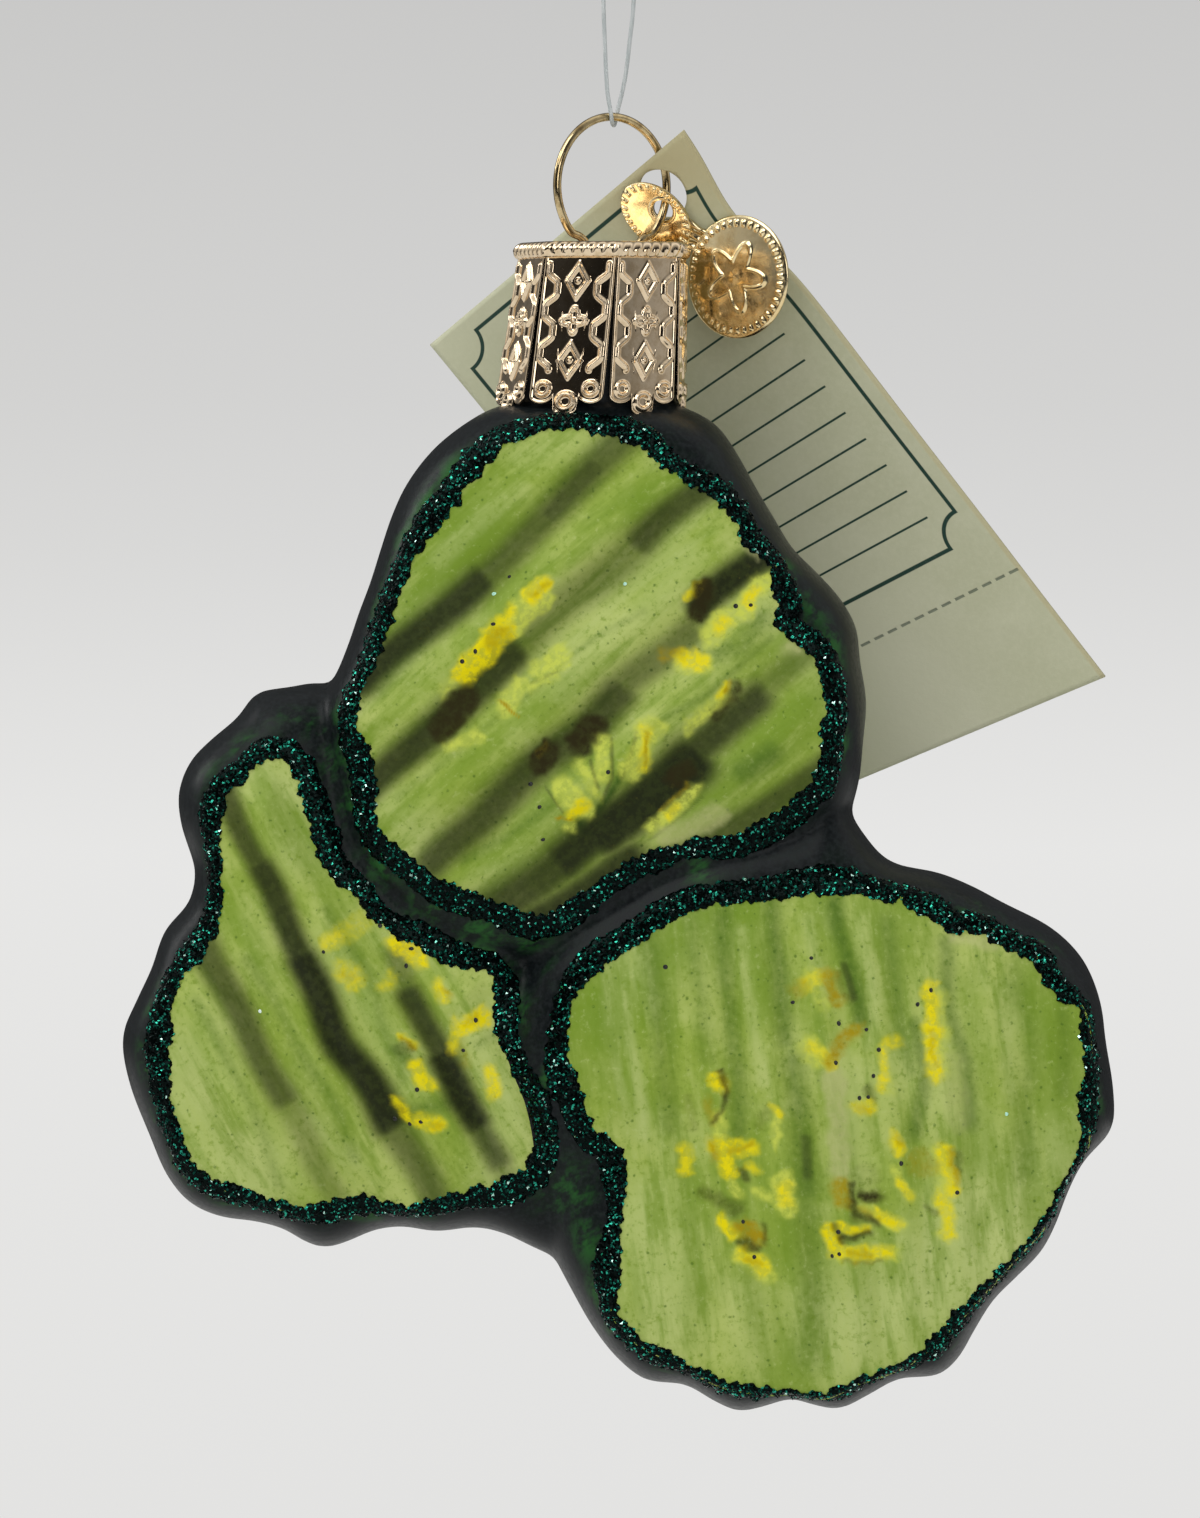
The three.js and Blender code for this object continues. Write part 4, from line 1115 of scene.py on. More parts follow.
RIGHT_STROKES = {
    Tint.WASH: (
        (90, 85, 600, 1010, 640, 960, 720, 915), (50, 50, 596, 1060, 640, 1110),
        (44, 60, 752, 910, 770, 1000), (40, 60, 824, 900, 860, 980), (30, 60, 880, 910, 904, 1040),
        (66, 62, 1040, 990, 1064, 1080, 1050, 1180), (24, 45, 968, 980, 980, 1060, 980, 1160),
        (46, 50, 800, 1180, 812, 1340), (40, 40, 700, 1180, 690, 1290),
    ),
    Tint.PALE: (
        (12, 75, 618, 990, 636, 1060, 640, 1130), (12, 60, 740, 930, 748, 1000, 760, 1080),
        (12, 55, 808, 920, 820, 1000), (16, 60, 862, 920, 872, 1000, 868, 1040),
        (14, 50, 1000, 980, 1012, 1100), (110, 95, 850, 1330, 960, 1270, 1030, 1190),
        (70, 80, 640, 1210, 660, 1320), (40, 65, 852, 1080, 850, 1170), (50, 40, 900, 1060, 980, 1150),
        (40, 45, 740, 1290, 760, 1370),
    ),
    Tint.MOSS: (
        (20, 50, 722, 915, 728, 990, 736, 1070, 740, 1130), (22, 55, 768, 905, 778, 965, 784, 1040),
        (30, 55, 792, 1060, 800, 1110, 806, 1190), (36, 35, 806, 1190, 812, 1260, 806, 1350),
        (20, 65, 836, 905, 848, 960, 858, 1020), (20, 40, 888, 920, 896, 1000, 908, 1070),
        (18, 55, 913, 1024, 920, 1072, 914, 1130), (18, 55, 940, 940, 950, 1010, 964, 1060, 968, 1120),
        (26, 40, 648, 940, 662, 1040, 668, 1120), (26, 35, 1010, 960, 1030, 1060, 1020, 1170),
        (18, 35, 692, 920, 700, 1000, 706, 1060), (18, 35, 1056, 1010, 1064, 1090),
    ),
    Tint.BAND: (
        (9, 55, 842, 960, 852, 1000), (12, 50, 804, 1130, 806, 1180),
    ),
    Tint.BEIGE: (
        (24, 55, 832, 1074, 836, 1120, 838, 1166), (14, 55, 952, 936, 990, 944),
        (26, 30, 950, 1060, 958, 1120),
    ),
    Tint.LIME: (
        (22, 55, 811, 976, 820, 1000), (22, 70, 808, 1044, 818, 1056), (14, 50, 880, 1046, 886, 1088),
        (12, 60, 940, 996, 942, 1070), (13, 85, 718, 1112, 719, 1132), (8, 80, 774, 1108, 776, 1144),
        (9, 85, 729, 1180, 737, 1193), (20, 85, 781, 1178, 786, 1206), (10, 75, 752, 1190, 778, 1198),
        (15, 90, 860, 1205, 898, 1222), (15, 70, 892, 1168, 906, 1194), (17, 65, 936, 1150, 946, 1232),
        (18, 65, 842, 1252, 892, 1250), (20, 70, 742, 1252, 768, 1272),
    ),
    Tint.LEMON: (
        (16, 55, 804, 984, 822, 976), (16, 60, 812, 1046, 830, 1060), (15, 60, 886, 1042, 894, 1040),
        (10, 80, 882, 1050, 880, 1088), (14, 75, 855, 1104, 868, 1104), (17, 90, 929, 988, 931, 1072),
        (15, 95, 715, 1076, 719, 1086), (18, 85, 714, 1144, 748, 1146), (18, 100, 723, 1150, 728, 1168),
        (10, 65, 746, 1164, 758, 1168), (9, 80, 770, 1104, 778, 1110), (16, 75, 684, 1150, 686, 1166),
        (12, 80, 783, 1184, 786, 1200), (15, 95, 722, 1216, 732, 1230), (15, 85, 744, 1250, 762, 1264),
        (12, 90, 876, 1210, 896, 1220), (17, 100, 828, 1230, 836, 1246), (9, 90, 838, 1225, 866, 1228),
        (12, 95, 844, 1251, 888, 1249), (11, 90, 890, 1134, 900, 1146), (11, 85, 897, 1180, 906, 1194),
        (17, 85, 942, 1148, 950, 1186), (13, 85, 941, 1192, 948, 1232),
    ),
    Tint.OCHRE: (
        (13, 50, 794, 988, 801, 984), (15, 75, 827, 974, 838, 998), (14, 80, 825, 1058, 855, 1027),
        (8, 50, 856, 1106, 866, 1106), (8, 45, 929, 1030, 933, 1066), (12, 45, 707, 1100, 712, 1120),
        (11, 65, 711, 1142, 716, 1158), (8, 60, 730, 1148, 750, 1142), (20, 85, 742, 1226, 756, 1234),
        (8, 50, 748, 1256, 756, 1262), (17, 75, 837, 1182, 842, 1198), (10, 60, 858, 1206, 868, 1212),
        (8, 60, 848, 1251, 868, 1251), (10, 65, 950, 1150, 955, 1180), (26, 40, 916, 1158, 926, 1164),
        (7, 50, 892, 1134, 900, 1140),
    ),
    Tint.BROWN: (
        (6.5, 70, 720, 1068, 727, 1098), (7.2, 62, 727, 1098, 712, 1120), (13, 31, 688, 1096, 692, 1128),
        (10, 70, 740, 1168, 746, 1176), (13, 31, 764, 1108, 760, 1124), (15, 50, 702, 1188, 736, 1206),
        (10.2, 66, 740, 1240, 756, 1244), (8.7, 55, 762, 1224, 764, 1238), (10.2, 70, 849, 1184, 851, 1212),
        (10.2, 70, 851, 1212, 876, 1220), (14, 85, 862, 1192, 876, 1194), (26, 25, 858, 1172, 866, 1178),
        (8.7, 74, 839, 1235, 868, 1232), (8.7, 62, 834, 1226, 838, 1232), (5.8, 43, 842, 1258, 880, 1258),
        (10, 50, 866, 1086, 872, 1096), (7.2, 35, 836, 972, 848, 1000), (7.2, 47, 958, 1150, 960, 1170),
        (8.7, 43, 926, 1202, 934, 1210),
    ),
}
# Small drops of dark enamel, by X and Y of their places in turn
TOP_DOTS = (
    510, 578, 494, 625, 476, 652, 463, 662, 735, 607, 750, 606, 608, 772, 531, 784, 540, 807, 543, 839,
)
LEFT_DOTS = (
    325, 951, 412, 948, 407, 965, 381, 925, 476, 1019, 464, 1049, 418, 1088, 396, 1117, 411, 1122,
    422, 1120,
)
RIGHT_DOTS = (
    810, 957, 792, 1001, 929, 989, 916, 1003, 837, 1022, 865, 1028, 877, 1048, 834, 1061, 872, 1074,
    867, 1095, 858, 1096, 899, 1161, 955, 1190, 742, 1219, 837, 1229, 838, 1251, 831, 1253, 753, 1254,
    665, 966,
)
# Loose glitter flakes, painted pale as glints, in the same way
TOP_FLECKS = (625, 585, 495, 595)
LEFT_FLECKS = (262, 1010)
RIGHT_FLECKS = (1004, 1112)

SLICES = (
    Slice("top", (600, 660), TOP_EDGE, TOP_FACE, 8.5, 1.4, -1.0, math.radians(40.8), 6.5, -3.1, 0.5,
          TOP_STROKES, TOP_DOTS, TOP_FLECKS),
    Slice("left", (265, 990), LEFT_EDGE, LEFT_FACE, 7.2, 1.2, -0.9, math.radians(-60.6), 6.0, 3.315, 0.5,
          LEFT_STROKES, LEFT_DOTS, LEFT_FLECKS),
    Slice("right", (820, 1130), RIGHT_EDGE, RIGHT_FACE, 8.5, 1.4, -1.5, math.radians(97.5), 4.05, 1.25, 0.25,
          RIGHT_STROKES, RIGHT_DOTS, RIGHT_FLECKS),
)


# Where thin lacquer shows the green glass, with a painted glow of light through it: the X and Y of the pixel
# and how far it reaches, in pixels
CLEAR_SPOTS = (
    (402, 542, 40), (428, 505, 36), (453, 473, 30), (380, 600, 26), (797, 565, 26), (822, 600, 34),
    (842, 645, 34), (850, 745, 26), (339, 760, 26), (350, 800, 24), (385, 862, 28), (430, 905, 28),
    (480, 936, 40), (530, 948, 30), (290, 702, 30), (325, 715, 26), (196, 759, 30), (240, 740, 20),
    (190, 860, 20), (150, 1000, 24), (144, 1060, 34), (150, 1120, 26), (179, 1171, 26), (224, 1212, 24),
    (373, 1222, 26), (420, 1224, 20), (516, 1011, 22), (548, 1080, 18), (568, 1190, 34), (582, 1240, 36),
    (590, 1290, 30), (604, 1330, 22), (660, 1375, 16), (797, 1396, 20), (957, 1354, 20), (1025, 1270, 18),
    (1094, 1102, 18), (980, 905, 26), (1050, 945, 20), (700, 868, 20),
)


@dataclass
class GlassBody:
    """The blown body: three slices and the neck, run together with soft webs between them."""

    cell: float = 0.38            # size of the cells that join the slices
    relax: int = 12               # rounds of smoothing
    sink: float = 0.3             # how far it lies below the painted faces
    neck_radius: float = 5.44
    neck_top: float = -9.55
    neck_foot: float = -26.0
    neck_x: float = -0.9
    neck_y: float = -1.0
    neck_rings: int = 40
    neck_sides: int = 96
    spokes: int = 360
    face_rings: int = 44
    slope_rings: int = 26
    clear: tuple = CLEAR_SPOTS    # where the green glass shows under thin lacquer, with a painted glow of light through it
    clear_share: float = 0.72
    finish: Finish = RimLacquer("rim_lacquer")

    def slice_mesh(self, cut: Slice) -> Shell:
        """Skin one slice, front and back."""
        angle = np.linspace(0, TURN, self.spokes, endpoint=False)
        face = cut.flat.reach(cut.middle, angle)
        edge = np.maximum(cut.border.reach(cut.middle, angle), face + 0.6)
        inner = np.linspace(0.03, 1.0, self.face_rings)
        outer = np.sin(np.linspace(0, math.pi / 2, self.slope_rings))[1:]
        loops = []
        for side in Side:
            rings = [face * share for share in inner] + [face + (edge - face) * share for share in outer]
            skin = []
            for ring in rings:
                x, z = cut.spot(angle, ring)
                lowered = self.sink * smooth_step(cut.flat.distance(x, z), 0.0, 1.2)
                height = cut.height(x, z) * (1.0 if ring is not rings[-1] else 0.0)
                skin.append(cut.point(x, z, height - lowered, side))
            loops += skin if side is Side.FRONT else skin[-2::-1]
        return capped_mesh(loops)

    def neck_mesh(self) -> Shell:
        """Skin the neck that the cap grips."""
        path = np.zeros((self.neck_rings, 3)) + (self.neck_x, self.neck_y, 0.0)
        path[:, 2] = np.linspace(self.neck_top, self.neck_foot, self.neck_rings)
        return tube(path, self.neck_radius, self.neck_sides)

    def build(self) -> Thing:
        """Join the slices and the neck into one skin and dress it."""
        rough = make_object("glass_rough", *joined([*map(self.slice_mesh, SLICES), self.neck_mesh()]))
        join = rough.modifiers.new("join", "REMESH")
        join.mode = "VOXEL"
        join.voxel_size = self.cell * MM
        soften = rough.modifiers.new("soften", "SMOOTH")
        soften.factor = 0.5
        soften.iterations = self.relax
        mesh = plain_mesh(rough)
        bpy.data.objects.remove(rough)
        body = linked("glass_rim", mesh)
        turn_outwards(mesh)
        store(body, "glow", self.glow(mesh))
        self.finish.dress(body)
        return body

    def glow(self, mesh: bpy.types.Mesh) -> np.ndarray:
        """Give how much painted glow of the green glass shows through the lacquer at each point, beside the
        glitter bands.
        """
        places = np.empty(len(mesh.vertices) * 3)
        mesh.vertices.foreach_get("co", places)
        x, y, z = places.reshape(-1, 3).T / MM
        near = np.zeros(len(x))
        for pixel_x, pixel_y, reach in self.clear:
            spot = at_pixel(pixel_x, pixel_y)
            reach = self.clear_share * reach * PIXEL
            near = np.maximum(near, np.exp(-((x - spot[0]) ** 2 + (z - spot[1]) ** 2) / reach ** 2))
        best = np.zeros(len(x))
        for cut in SLICES:
            past = np.maximum(-cut.flat.distance(x, z), 0.0)
            room = np.maximum(cut.border.distance(x, z), 0.0)
            share = past / np.maximum(past + room, 1e-6)
            zone = smooth_step(share, 0.16, 0.34) * (1 - smooth_step(share, 0.46, 0.80))
            flank = smooth_step(np.abs(y - cut.plane_y), 0.30 * cut.half_depth, 0.55 * cut.half_depth)
            best = np.maximum(best, zone * flank * (past > 0) * (room > 0))
        return best * (0.03 + 0.97 * near)


@dataclass
class FacePanel:
    """The painted face of one slice, a thin closed shell on the glass."""

    cut: Slice
    side: Side
    spokes: int = 480
    rings: int = 108
    margin: float = 0.6           # how far the paint runs under the glitter
    depth: float = 0.45
    seed_fade: float = 0.46       # how far the edge of a seed's paint fades

    @property
    def name(self) -> str:
        """Give the name of the slice's side."""
        return f"{self.cut.name}_{self.side.word}"

    def build(self) -> Thing:
        """Skin the face and keep the strokes on its points."""
        cut = self.cut
        angle = np.linspace(0, TURN, self.spokes, endpoint=False)
        face = cut.flat.reach(cut.middle, angle)
        edge = cut.border.reach(cut.middle, angle)
        rim = np.minimum(face + self.margin, face + 0.45 * np.maximum(edge - face, 0.6))
        skin = []
        for share in np.linspace(0.012, 1.0, self.rings):
            x, z = cut.spot(angle, rim * share)
            skin.append(cut.point(x, z, cut.height(x, z) + LIFT, self.side))
        under = []
        for share in (1.0, 0.75, 0.5, 0.25):
            x, z = cut.spot(angle, rim * share)
            under.append(cut.point(x, z, cut.height(x, z, False) - self.depth - cut.ridge_height, self.side))
        points, faces = capped_mesh(skin + under)
        panel = make_object(f"{self.name}_face", points, faces)
        for tint in Tint:
            store(panel, tint.value, self.cover(tint, points[:, 0], points[:, 2]))
        SlicePaint(f"{cut.name}_paint", ridge_turn=cut.ridge_turn).dress(panel)
        return panel

    def cover(self, tint: Tint, x: np.ndarray, z: np.ndarray) -> np.ndarray:
        """Give how well one paint covers each point.

        Args:
            tint: the paint.
            x: place along X in millimetres.
            z: place along Z in millimetres.

        Returns:
            The cover, from 0 to 1.
        """
        best = np.zeros(len(x))
        broad = tint in (Tint.WASH, Tint.PALE, Tint.MOSS, Tint.BAND)
        size, sway = (5.0, 0.18) if broad else (1.4, 0.15)
        x, z = x + sway * ripple(x, z, size, 11), z + sway * ripple(x, z, size, 13)
        if not broad:
            x, z = x + 0.07 * ripple(x, z, 0.5, 12), z + 0.07 * ripple(x, z, 0.5, 14)
        for width, cover, *pixels in self.cut.strokes.get(tint, ()):
            half = width * PIXEL / 2
            fade = half * (1.0 if tint in (Tint.WASH, Tint.PALE, Tint.MOSS) else 0.75)
            fade = fade if broad else min(half, self.seed_fade)
            spots = [at_pixel(*pixel) for pixel in zip(pixels[::2], pixels[1::2])]
            total = sum(math.dist(a, b) for a, b in zip(spots, spots[1:]))
            before = 0.0
            for (x0, z0), (x1, z1) in zip(spots, spots[1:]):
                long = math.hypot(x1 - x0, z1 - z0)
                way = ((x1 - x0) / long, (z1 - z0) / long)
                run = (x - x0) * way[0] + (z - z0) * way[1]
                near = np.clip(run, 0, long)
                off = np.hypot(x - x0 - near * way[0], z - z0 - near * way[1])
                laid = cover / 100 * (1 - smooth_step(off, half - fade, half + fade))
                if tint is Tint.BAND:
                    laid *= smooth_step(before + run, -half, 0.8 * half)
                    laid *= smooth_step(total - before - run, -half, 0.8 * half)
                best = np.maximum(best, laid)
                before += long
        return np.minimum(best, 1.0)

    def places(self, pixels: Sequence[int]) -> np.ndarray:
        """Give the places of pixels on the face, in millimetres."""
        x, z = at_pixel(*np.reshape(pixels, (-1, 2)).T)
        return self.cut.point(x, z, self.cut.height(x, z) + LIFT, self.side)


@dataclass
class Drops:
    """Small round things on the faces, one mesh for each face."""

    word: str
    radius: float
    finish: Finish

    def recipe(self) -> Recipe:
        """Lay out the tree that sets a flat drop on each point."""
        recipe = Recipe(self.word, {"Radius": "NodeSocketFloat", "Material": "NodeSocketMaterial"})
        nodes, given = recipe.nodes, recipe.given
        drop = nodes.add("GeometryNodeMeshUVSphere", {"Segments": 12, "Rings": 8, "Radius": given["Radius"]})
        size = nodes.add("FunctionNodeRandomValue", {0: (0.8, 0.3, 0.8), 1: (1.15, 0.3, 1.15), "Seed": 5},
                         data_type="FLOAT_VECTOR").outputs[0]
        spots = nodes.add("GeometryNodeInstanceOnPoints",
                          {"Points": given["Mesh"], "Instance": drop.outputs[0], "Scale": size})
        recipe.close(spots.outputs[0])
        return recipe

    def build(self, panels: dict[str, np.ndarray]) -> list[Thing]:
        """Make the drops of every face from their places by the face's name."""
        recipe = self.recipe()
        made = []
        for face, places in panels.items():
            values = {"Radius": self.radius * MM, "Material": self.finish.material()}
            drops = recipe.run(make_points("spots", places), f"{face}_{self.word}", values)
            drops.data.shade_smooth()
            made.append(drops)
        return made


def make_points(name: str, places: np.ndarray) -> Thing:
    """Make an object of loose points from places in millimetres."""
    mesh = bpy.data.meshes.new(name)
    mesh.from_pydata((places * MM).tolist(), [], [])
    return linked(name, mesh)


@dataclass
class GlitterBand:
    """A ragged band of glue round one face, strewn with flakes."""

    cut: Slice
    side: Side
    seed: int
    width: float = 1.70
    share: float = 0.52           # widest share of the slope that the band may take
    spokes: int = 600
    rings: int = 12
    begin: float = -0.04          # where the band begins, out from the face's outline
    thick: float = 0.14
    grit: float = 0.03            # how rough the glue is
    sink: float = 0.25            # how deep it reaches into the glass
    density: float = 40.0         # flakes on a square millimetre
    flake: float = 0.18
    flake_thick: float = 0.02
    finish: Finish = Glitter("green_glitter")

    def glue(self, skin: BVHTree) -> Thing:
        """Lay the glue on the glass.

        Args:
            skin: the glass body's surface.

        Returns:
            The closed band, with the flakes' room kept as an attribute.
        """
        cut = self.cut
        start, out = cut.flat.even(self.spokes)
        x, z = start.T
        inner = self.begin + 0.12 * ripple(x, z, 1.2, self.seed) + 0.14 * ripple(x, z, 0.42, self.seed + 1)
        gap = np.maximum(cut.border.distance(x, z), 0.8)
        room = np.minimum(self.width * (1 + 0.16 * ripple(x, z, 5.0, self.seed + 2)), self.share * gap)
        outer = room + 0.12 * ripple(x, z, 0.45, self.seed + 3)
        top, low = [], []
        for share in np.linspace(0, 1, self.rings):
            reach = inner + (outer - inner) * share
            x, z = (start + out * reach[:, None]).T
            seat = self.seat(skin, x, z)
            bulge = self.thick * (0.35 + 0.65 * math.sin(math.pi * share) ** 0.5)
            grit = self.grit * ripple(x, z, 0.35, self.seed + 4)
            top.append(cut.point(x, z, seat + bulge + grit, self.side))
            low.append(cut.point(x, z, seat - self.sink, self.side))
        points, faces = closed_ring_mesh(top + low[::-1])
        glue = make_object("glue", points, faces)
        store(glue, "bed", np.repeat([1.0, 0.0], self.rings * self.spokes))
        return glue

    def seat(self, skin: BVHTree, x: np.ndarray, z: np.ndarray) -> np.ndarray:
        """Give the height over the middle plane of what lies under each place, in millimetres."""
        cut = self.cut
        far = 0.05 * self.side
        down = Vector((0.0, -self.side, 0.0))
        found = []
        for across, up in zip(x, z):
            hit = skin.ray_cast(Vector((across * MM, far, up * MM)), down)[0]
            found.append(self.side * (hit.y / MM - cut.plane_y) if hit else 0.0)
        panel = np.where(cut.flat.distance(x, z) > -0.45, cut.height(x, z) + LIFT, -99.0)
        return np.maximum(found, panel)

    def build(self, skin: BVHTree, recipe: Recipe) -> Thing:
        """Strew the flakes on the glue and give the finished band."""
        values = {"Density": self.density / MM ** 2, "Flake": self.flake * MM,
                  "Thickness": self.flake_thick * MM, "Seed": self.seed, "Material": self.finish.material()}
        return recipe.run(self.glue(skin), f"{self.cut.name}_{self.side.word}_glitter_band", values)


def glitter_recipe() -> Recipe:
    """Lay out the tree that strews tilted square flakes on a bed and keeps each one's tone."""
    recipe = Recipe("glitter_flakes", {
        "Density": "NodeSocketFloat", "Flake": "NodeSocketFloat", "Thickness": "NodeSocketFloat",
        "Seed": "NodeSocketInt", "Material": "NodeSocketMaterial",
    })
    nodes, given = recipe.nodes, recipe.given
    bed = nodes.add("GeometryNodeInputNamedAttribute", {"Name": "bed"}, data_type="FLOAT").outputs[0]
    whole = nodes.maths("GREATER_THAN", bed, 0.99)
    strewn = nodes.add("GeometryNodeDistributePointsOnFaces",
                       {"Mesh": given["Mesh"], "Selection": whole, "Density": given["Density"],
                        "Seed": given["Seed"]})
    tone = nodes.add("FunctionNodeRandomValue", {2: 0.0, 3: 1.0, "Seed": given["Seed"]}, data_type="FLOAT")
    toned = nodes.add("GeometryNodeStoreNamedAttribute",
                      {"Geometry": strewn.outputs["Points"], "Name": "tone", "Value": tone.outputs[1]},
                      data_type="FLOAT", domain="POINT")
    size = nodes.add("ShaderNodeCombineXYZ", {0: given["Flake"], 1: given["Flake"], 2: given["Thickness"]})
    flake = nodes.add("GeometryNodeMeshCube", {"Size": size.outputs[0]})
    tilt = nodes.add("FunctionNodeRandomValue", {0: (-0.5, -0.5, -3.14), 1: (0.5, 0.5, 3.14), "Seed": 31},
                     data_type="FLOAT_VECTOR").outputs[0]
    turned = nodes.add("FunctionNodeRotateRotation", {0: strewn.outputs["Rotation"], 1: tilt},
                       rotation_space="LOCAL").outputs[0]
    scale = nodes.add("FunctionNodeRandomValue", {2: 0.7, 3: 1.15, "Seed": 77}, data_type="FLOAT").outputs[1]
    flakes = nodes.add("GeometryNodeInstanceOnPoints",
                       {"Points": toned.outputs[0], "Instance": flake.outputs[0], "Rotation": turned,
                        "Scale": scale})
    recipe.close(nodes.join(given["Mesh"], flakes.outputs[0]))
    return recipe


# Cap, wire and charm


@dataclass
class CrownCap:
    """The pressed cap: seven embossed tabs with scalloped feet under a rolled crown."""

    sides: int = 7
    flat: float = 5.80            # from the axis to a flat side, at the top
    sheet_front: float = 0.20     # depth of a tab's plain front behind the flat side
    sheet_back: float = 0.30      # depth of its back
    x: float = -0.45
    y: float = -1.0
    turn: float = math.radians(-17.5)
    top: float = -8.8
    tab_length: float = 11.0
    slit: float = 0.30
    lobe_depth: float = 0.7
    lobe_middle_drop: float = 0.9
    tab_top: float = 1.30         # drop from the cap's top to where a tab shows
    flare: float = 0.80           # how far a tab's foot stands out
    spread: float = 0.055         # how much wider a tab is at its foot
    lean: float = 0.085           # sideways lean of the cap for each millimetre of drop
    lozenges_at: tuple[float, float] = (2.85, 8.55)   # drops of the pressed ornament's middles
    flower_at: float = 5.7
    stamped: float = 0.22         # height over which the metal counts as raised
    roll: float = 0.64            # radius of the crown's rolled rim
    ropes: int = 7                # turns of its rope over each side
    columns: int = 68
    rows: int = 136
    finish: Finish = PressedMetal("pressed_cap")

    @property
    def half_tab(self) -> float:
        """Give half the width of a tab."""
        return self.flat * math.tan(math.pi / self.sides) - self.slit / 2

    def foot(self, s: np.ndarray) -> np.ndarray:
        """Give the drop of the scalloped foot at each place across a tab."""
        pitch = 2 * self.half_tab / 3
        lobe = np.clip(np.floor((s + self.half_tab) / pitch), 0, 2)
        centre = -self.half_tab + pitch * (lobe + 0.5)
        off = np.clip(np.abs(s - centre) / (pitch / 2), 0, 1)
        middle = np.where(lobe == 1, self.lobe_middle_drop, 0.0)
        return middle + self.lobe_depth * np.sqrt(1 - off ** 2)

    def ridge(self, off: np.ndarray, wide: float) -> np.ndarray:
        """Give the height share of a rounded line at a distance from its middle."""
        return 0.5 + 0.5 * np.cos(np.pi * np.clip(off / wide, -1, 1))

    def relief(self, s: np.ndarray, t: np.ndarray, end: np.ndarray) -> np.ndarray:
        """Give the height of the pressed ornament.

        Args:
            s: place across the tab, 0 in its middle.
            t: place down the tab from the cap's top.
            end: where the tab ends at that place.

        Returns:
            The height over the plain sheet in millimetres.
        """
        rim = np.minimum(self.half_tab - np.abs(s), end - t)
        border = 0.11 * self.ridge(rim - 0.13, 0.15)
        down = np.linspace(1.65, 9.25, 180)
        sweep = TURN * (down - 1.90) / 3.04
        aside = 1.84 + 0.45 * (np.cos(sweep) - 0.16 * np.cos(3 * sweep))
        reach = np.sqrt((np.abs(s)[..., None] - aside) ** 2 + (t[..., None] - down) ** 2).min(axis=-1)
        waves = 0.26 * self.ridge(reach, 0.27)
        motif = np.zeros_like(s)
        for middle in self.lozenges_at:
            lozenge = (np.abs(t - middle) / 1.16 + np.abs(s) / 0.74 - 1) * 0.62
            motif = np.maximum(motif, self.ridge(lozenge, 0.24))
            motif = np.maximum(motif, self.ridge(np.hypot(s, t - middle), 0.26))
        reach = np.hypot(s, t - self.flower_at)
        petals = reach - 0.66 - 0.24 * np.cos(4 * np.arctan2(s, t - self.flower_at))
        motif = np.maximum(motif, self.ridge(petals, 0.22))
        motif = 0.25 * np.maximum(motif, self.ridge(reach, 0.26))
        pitch = 2 * self.half_tab / 3
        buttons = np.zeros_like(s)
        lobes = ((-pitch, 0.0, 0.66), (0.0, self.lobe_middle_drop, 0.80), (pitch, 0.0, 0.66))
        for place, drop, size in lobes:
            off = np.hypot(s - place * 0.97, t - (self.tab_length - 0.40 + drop))
            dome = 0.32 * self.ridge(off - 0.68 * size, 0.32 * size)
            buttons = np.maximum(buttons, np.where(off < size, dome, 0.0))
            border = border * smooth_step(off, size * 0.9, size * 1.1)
        return np.max([border, waves, motif, buttons], axis=0)

    def tab(self) -> Thing:
        """Skin one tab, facing the front, about the cap's own axis."""
        s = np.linspace(-self.half_tab, self.half_tab, self.columns)
        end = self.tab_length + self.foot(s)
        share = np.linspace(0, 1, self.rows)[:, None]
        t = self.tab_top - 0.25 + share * (end - self.tab_top + 0.25)
        across = np.broadcast_to(s, t.shape)
        stop = np.broadcast_to(end, t.shape)
        bow = 0.10 * (across / self.half_tab) ** 2
        stand = self.flare * t / self.tab_length
        raised = self.relief(across, t, stop)
        out = -self.flat + self.sheet_front + bow - stand - raised
        wider = 1 + self.spread * t / self.tab_length
        front = np.stack([across * wider, out, self.top - t], axis=-1).reshape(-1, 3)
        loop = grid_border(self.rows, self.columns)
        back = front[loop]
        stand = self.flare * (self.top - back[:, 2]) / self.tab_length
        back[:, 1] = -self.flat + self.sheet_back - stand
        first = len(front)
        points = np.vstack([front, back])
        faces = grid_faces(self.rows, self.columns, wrap=False).tolist()
        count = len(loop)
        for i in range(count):
            j = (i + 1) % count
            faces.append([loop[i], first + i, first + j, loop[j]])
        faces.append([first + i for i in range(count)][::-1])
        tab = make_object("tab", points, faces)
        shine = np.clip(raised / self.stamped, 0, 1).ravel()
        store(tab, "raised", np.concatenate([shine, np.zeros(count)]))
        return tab

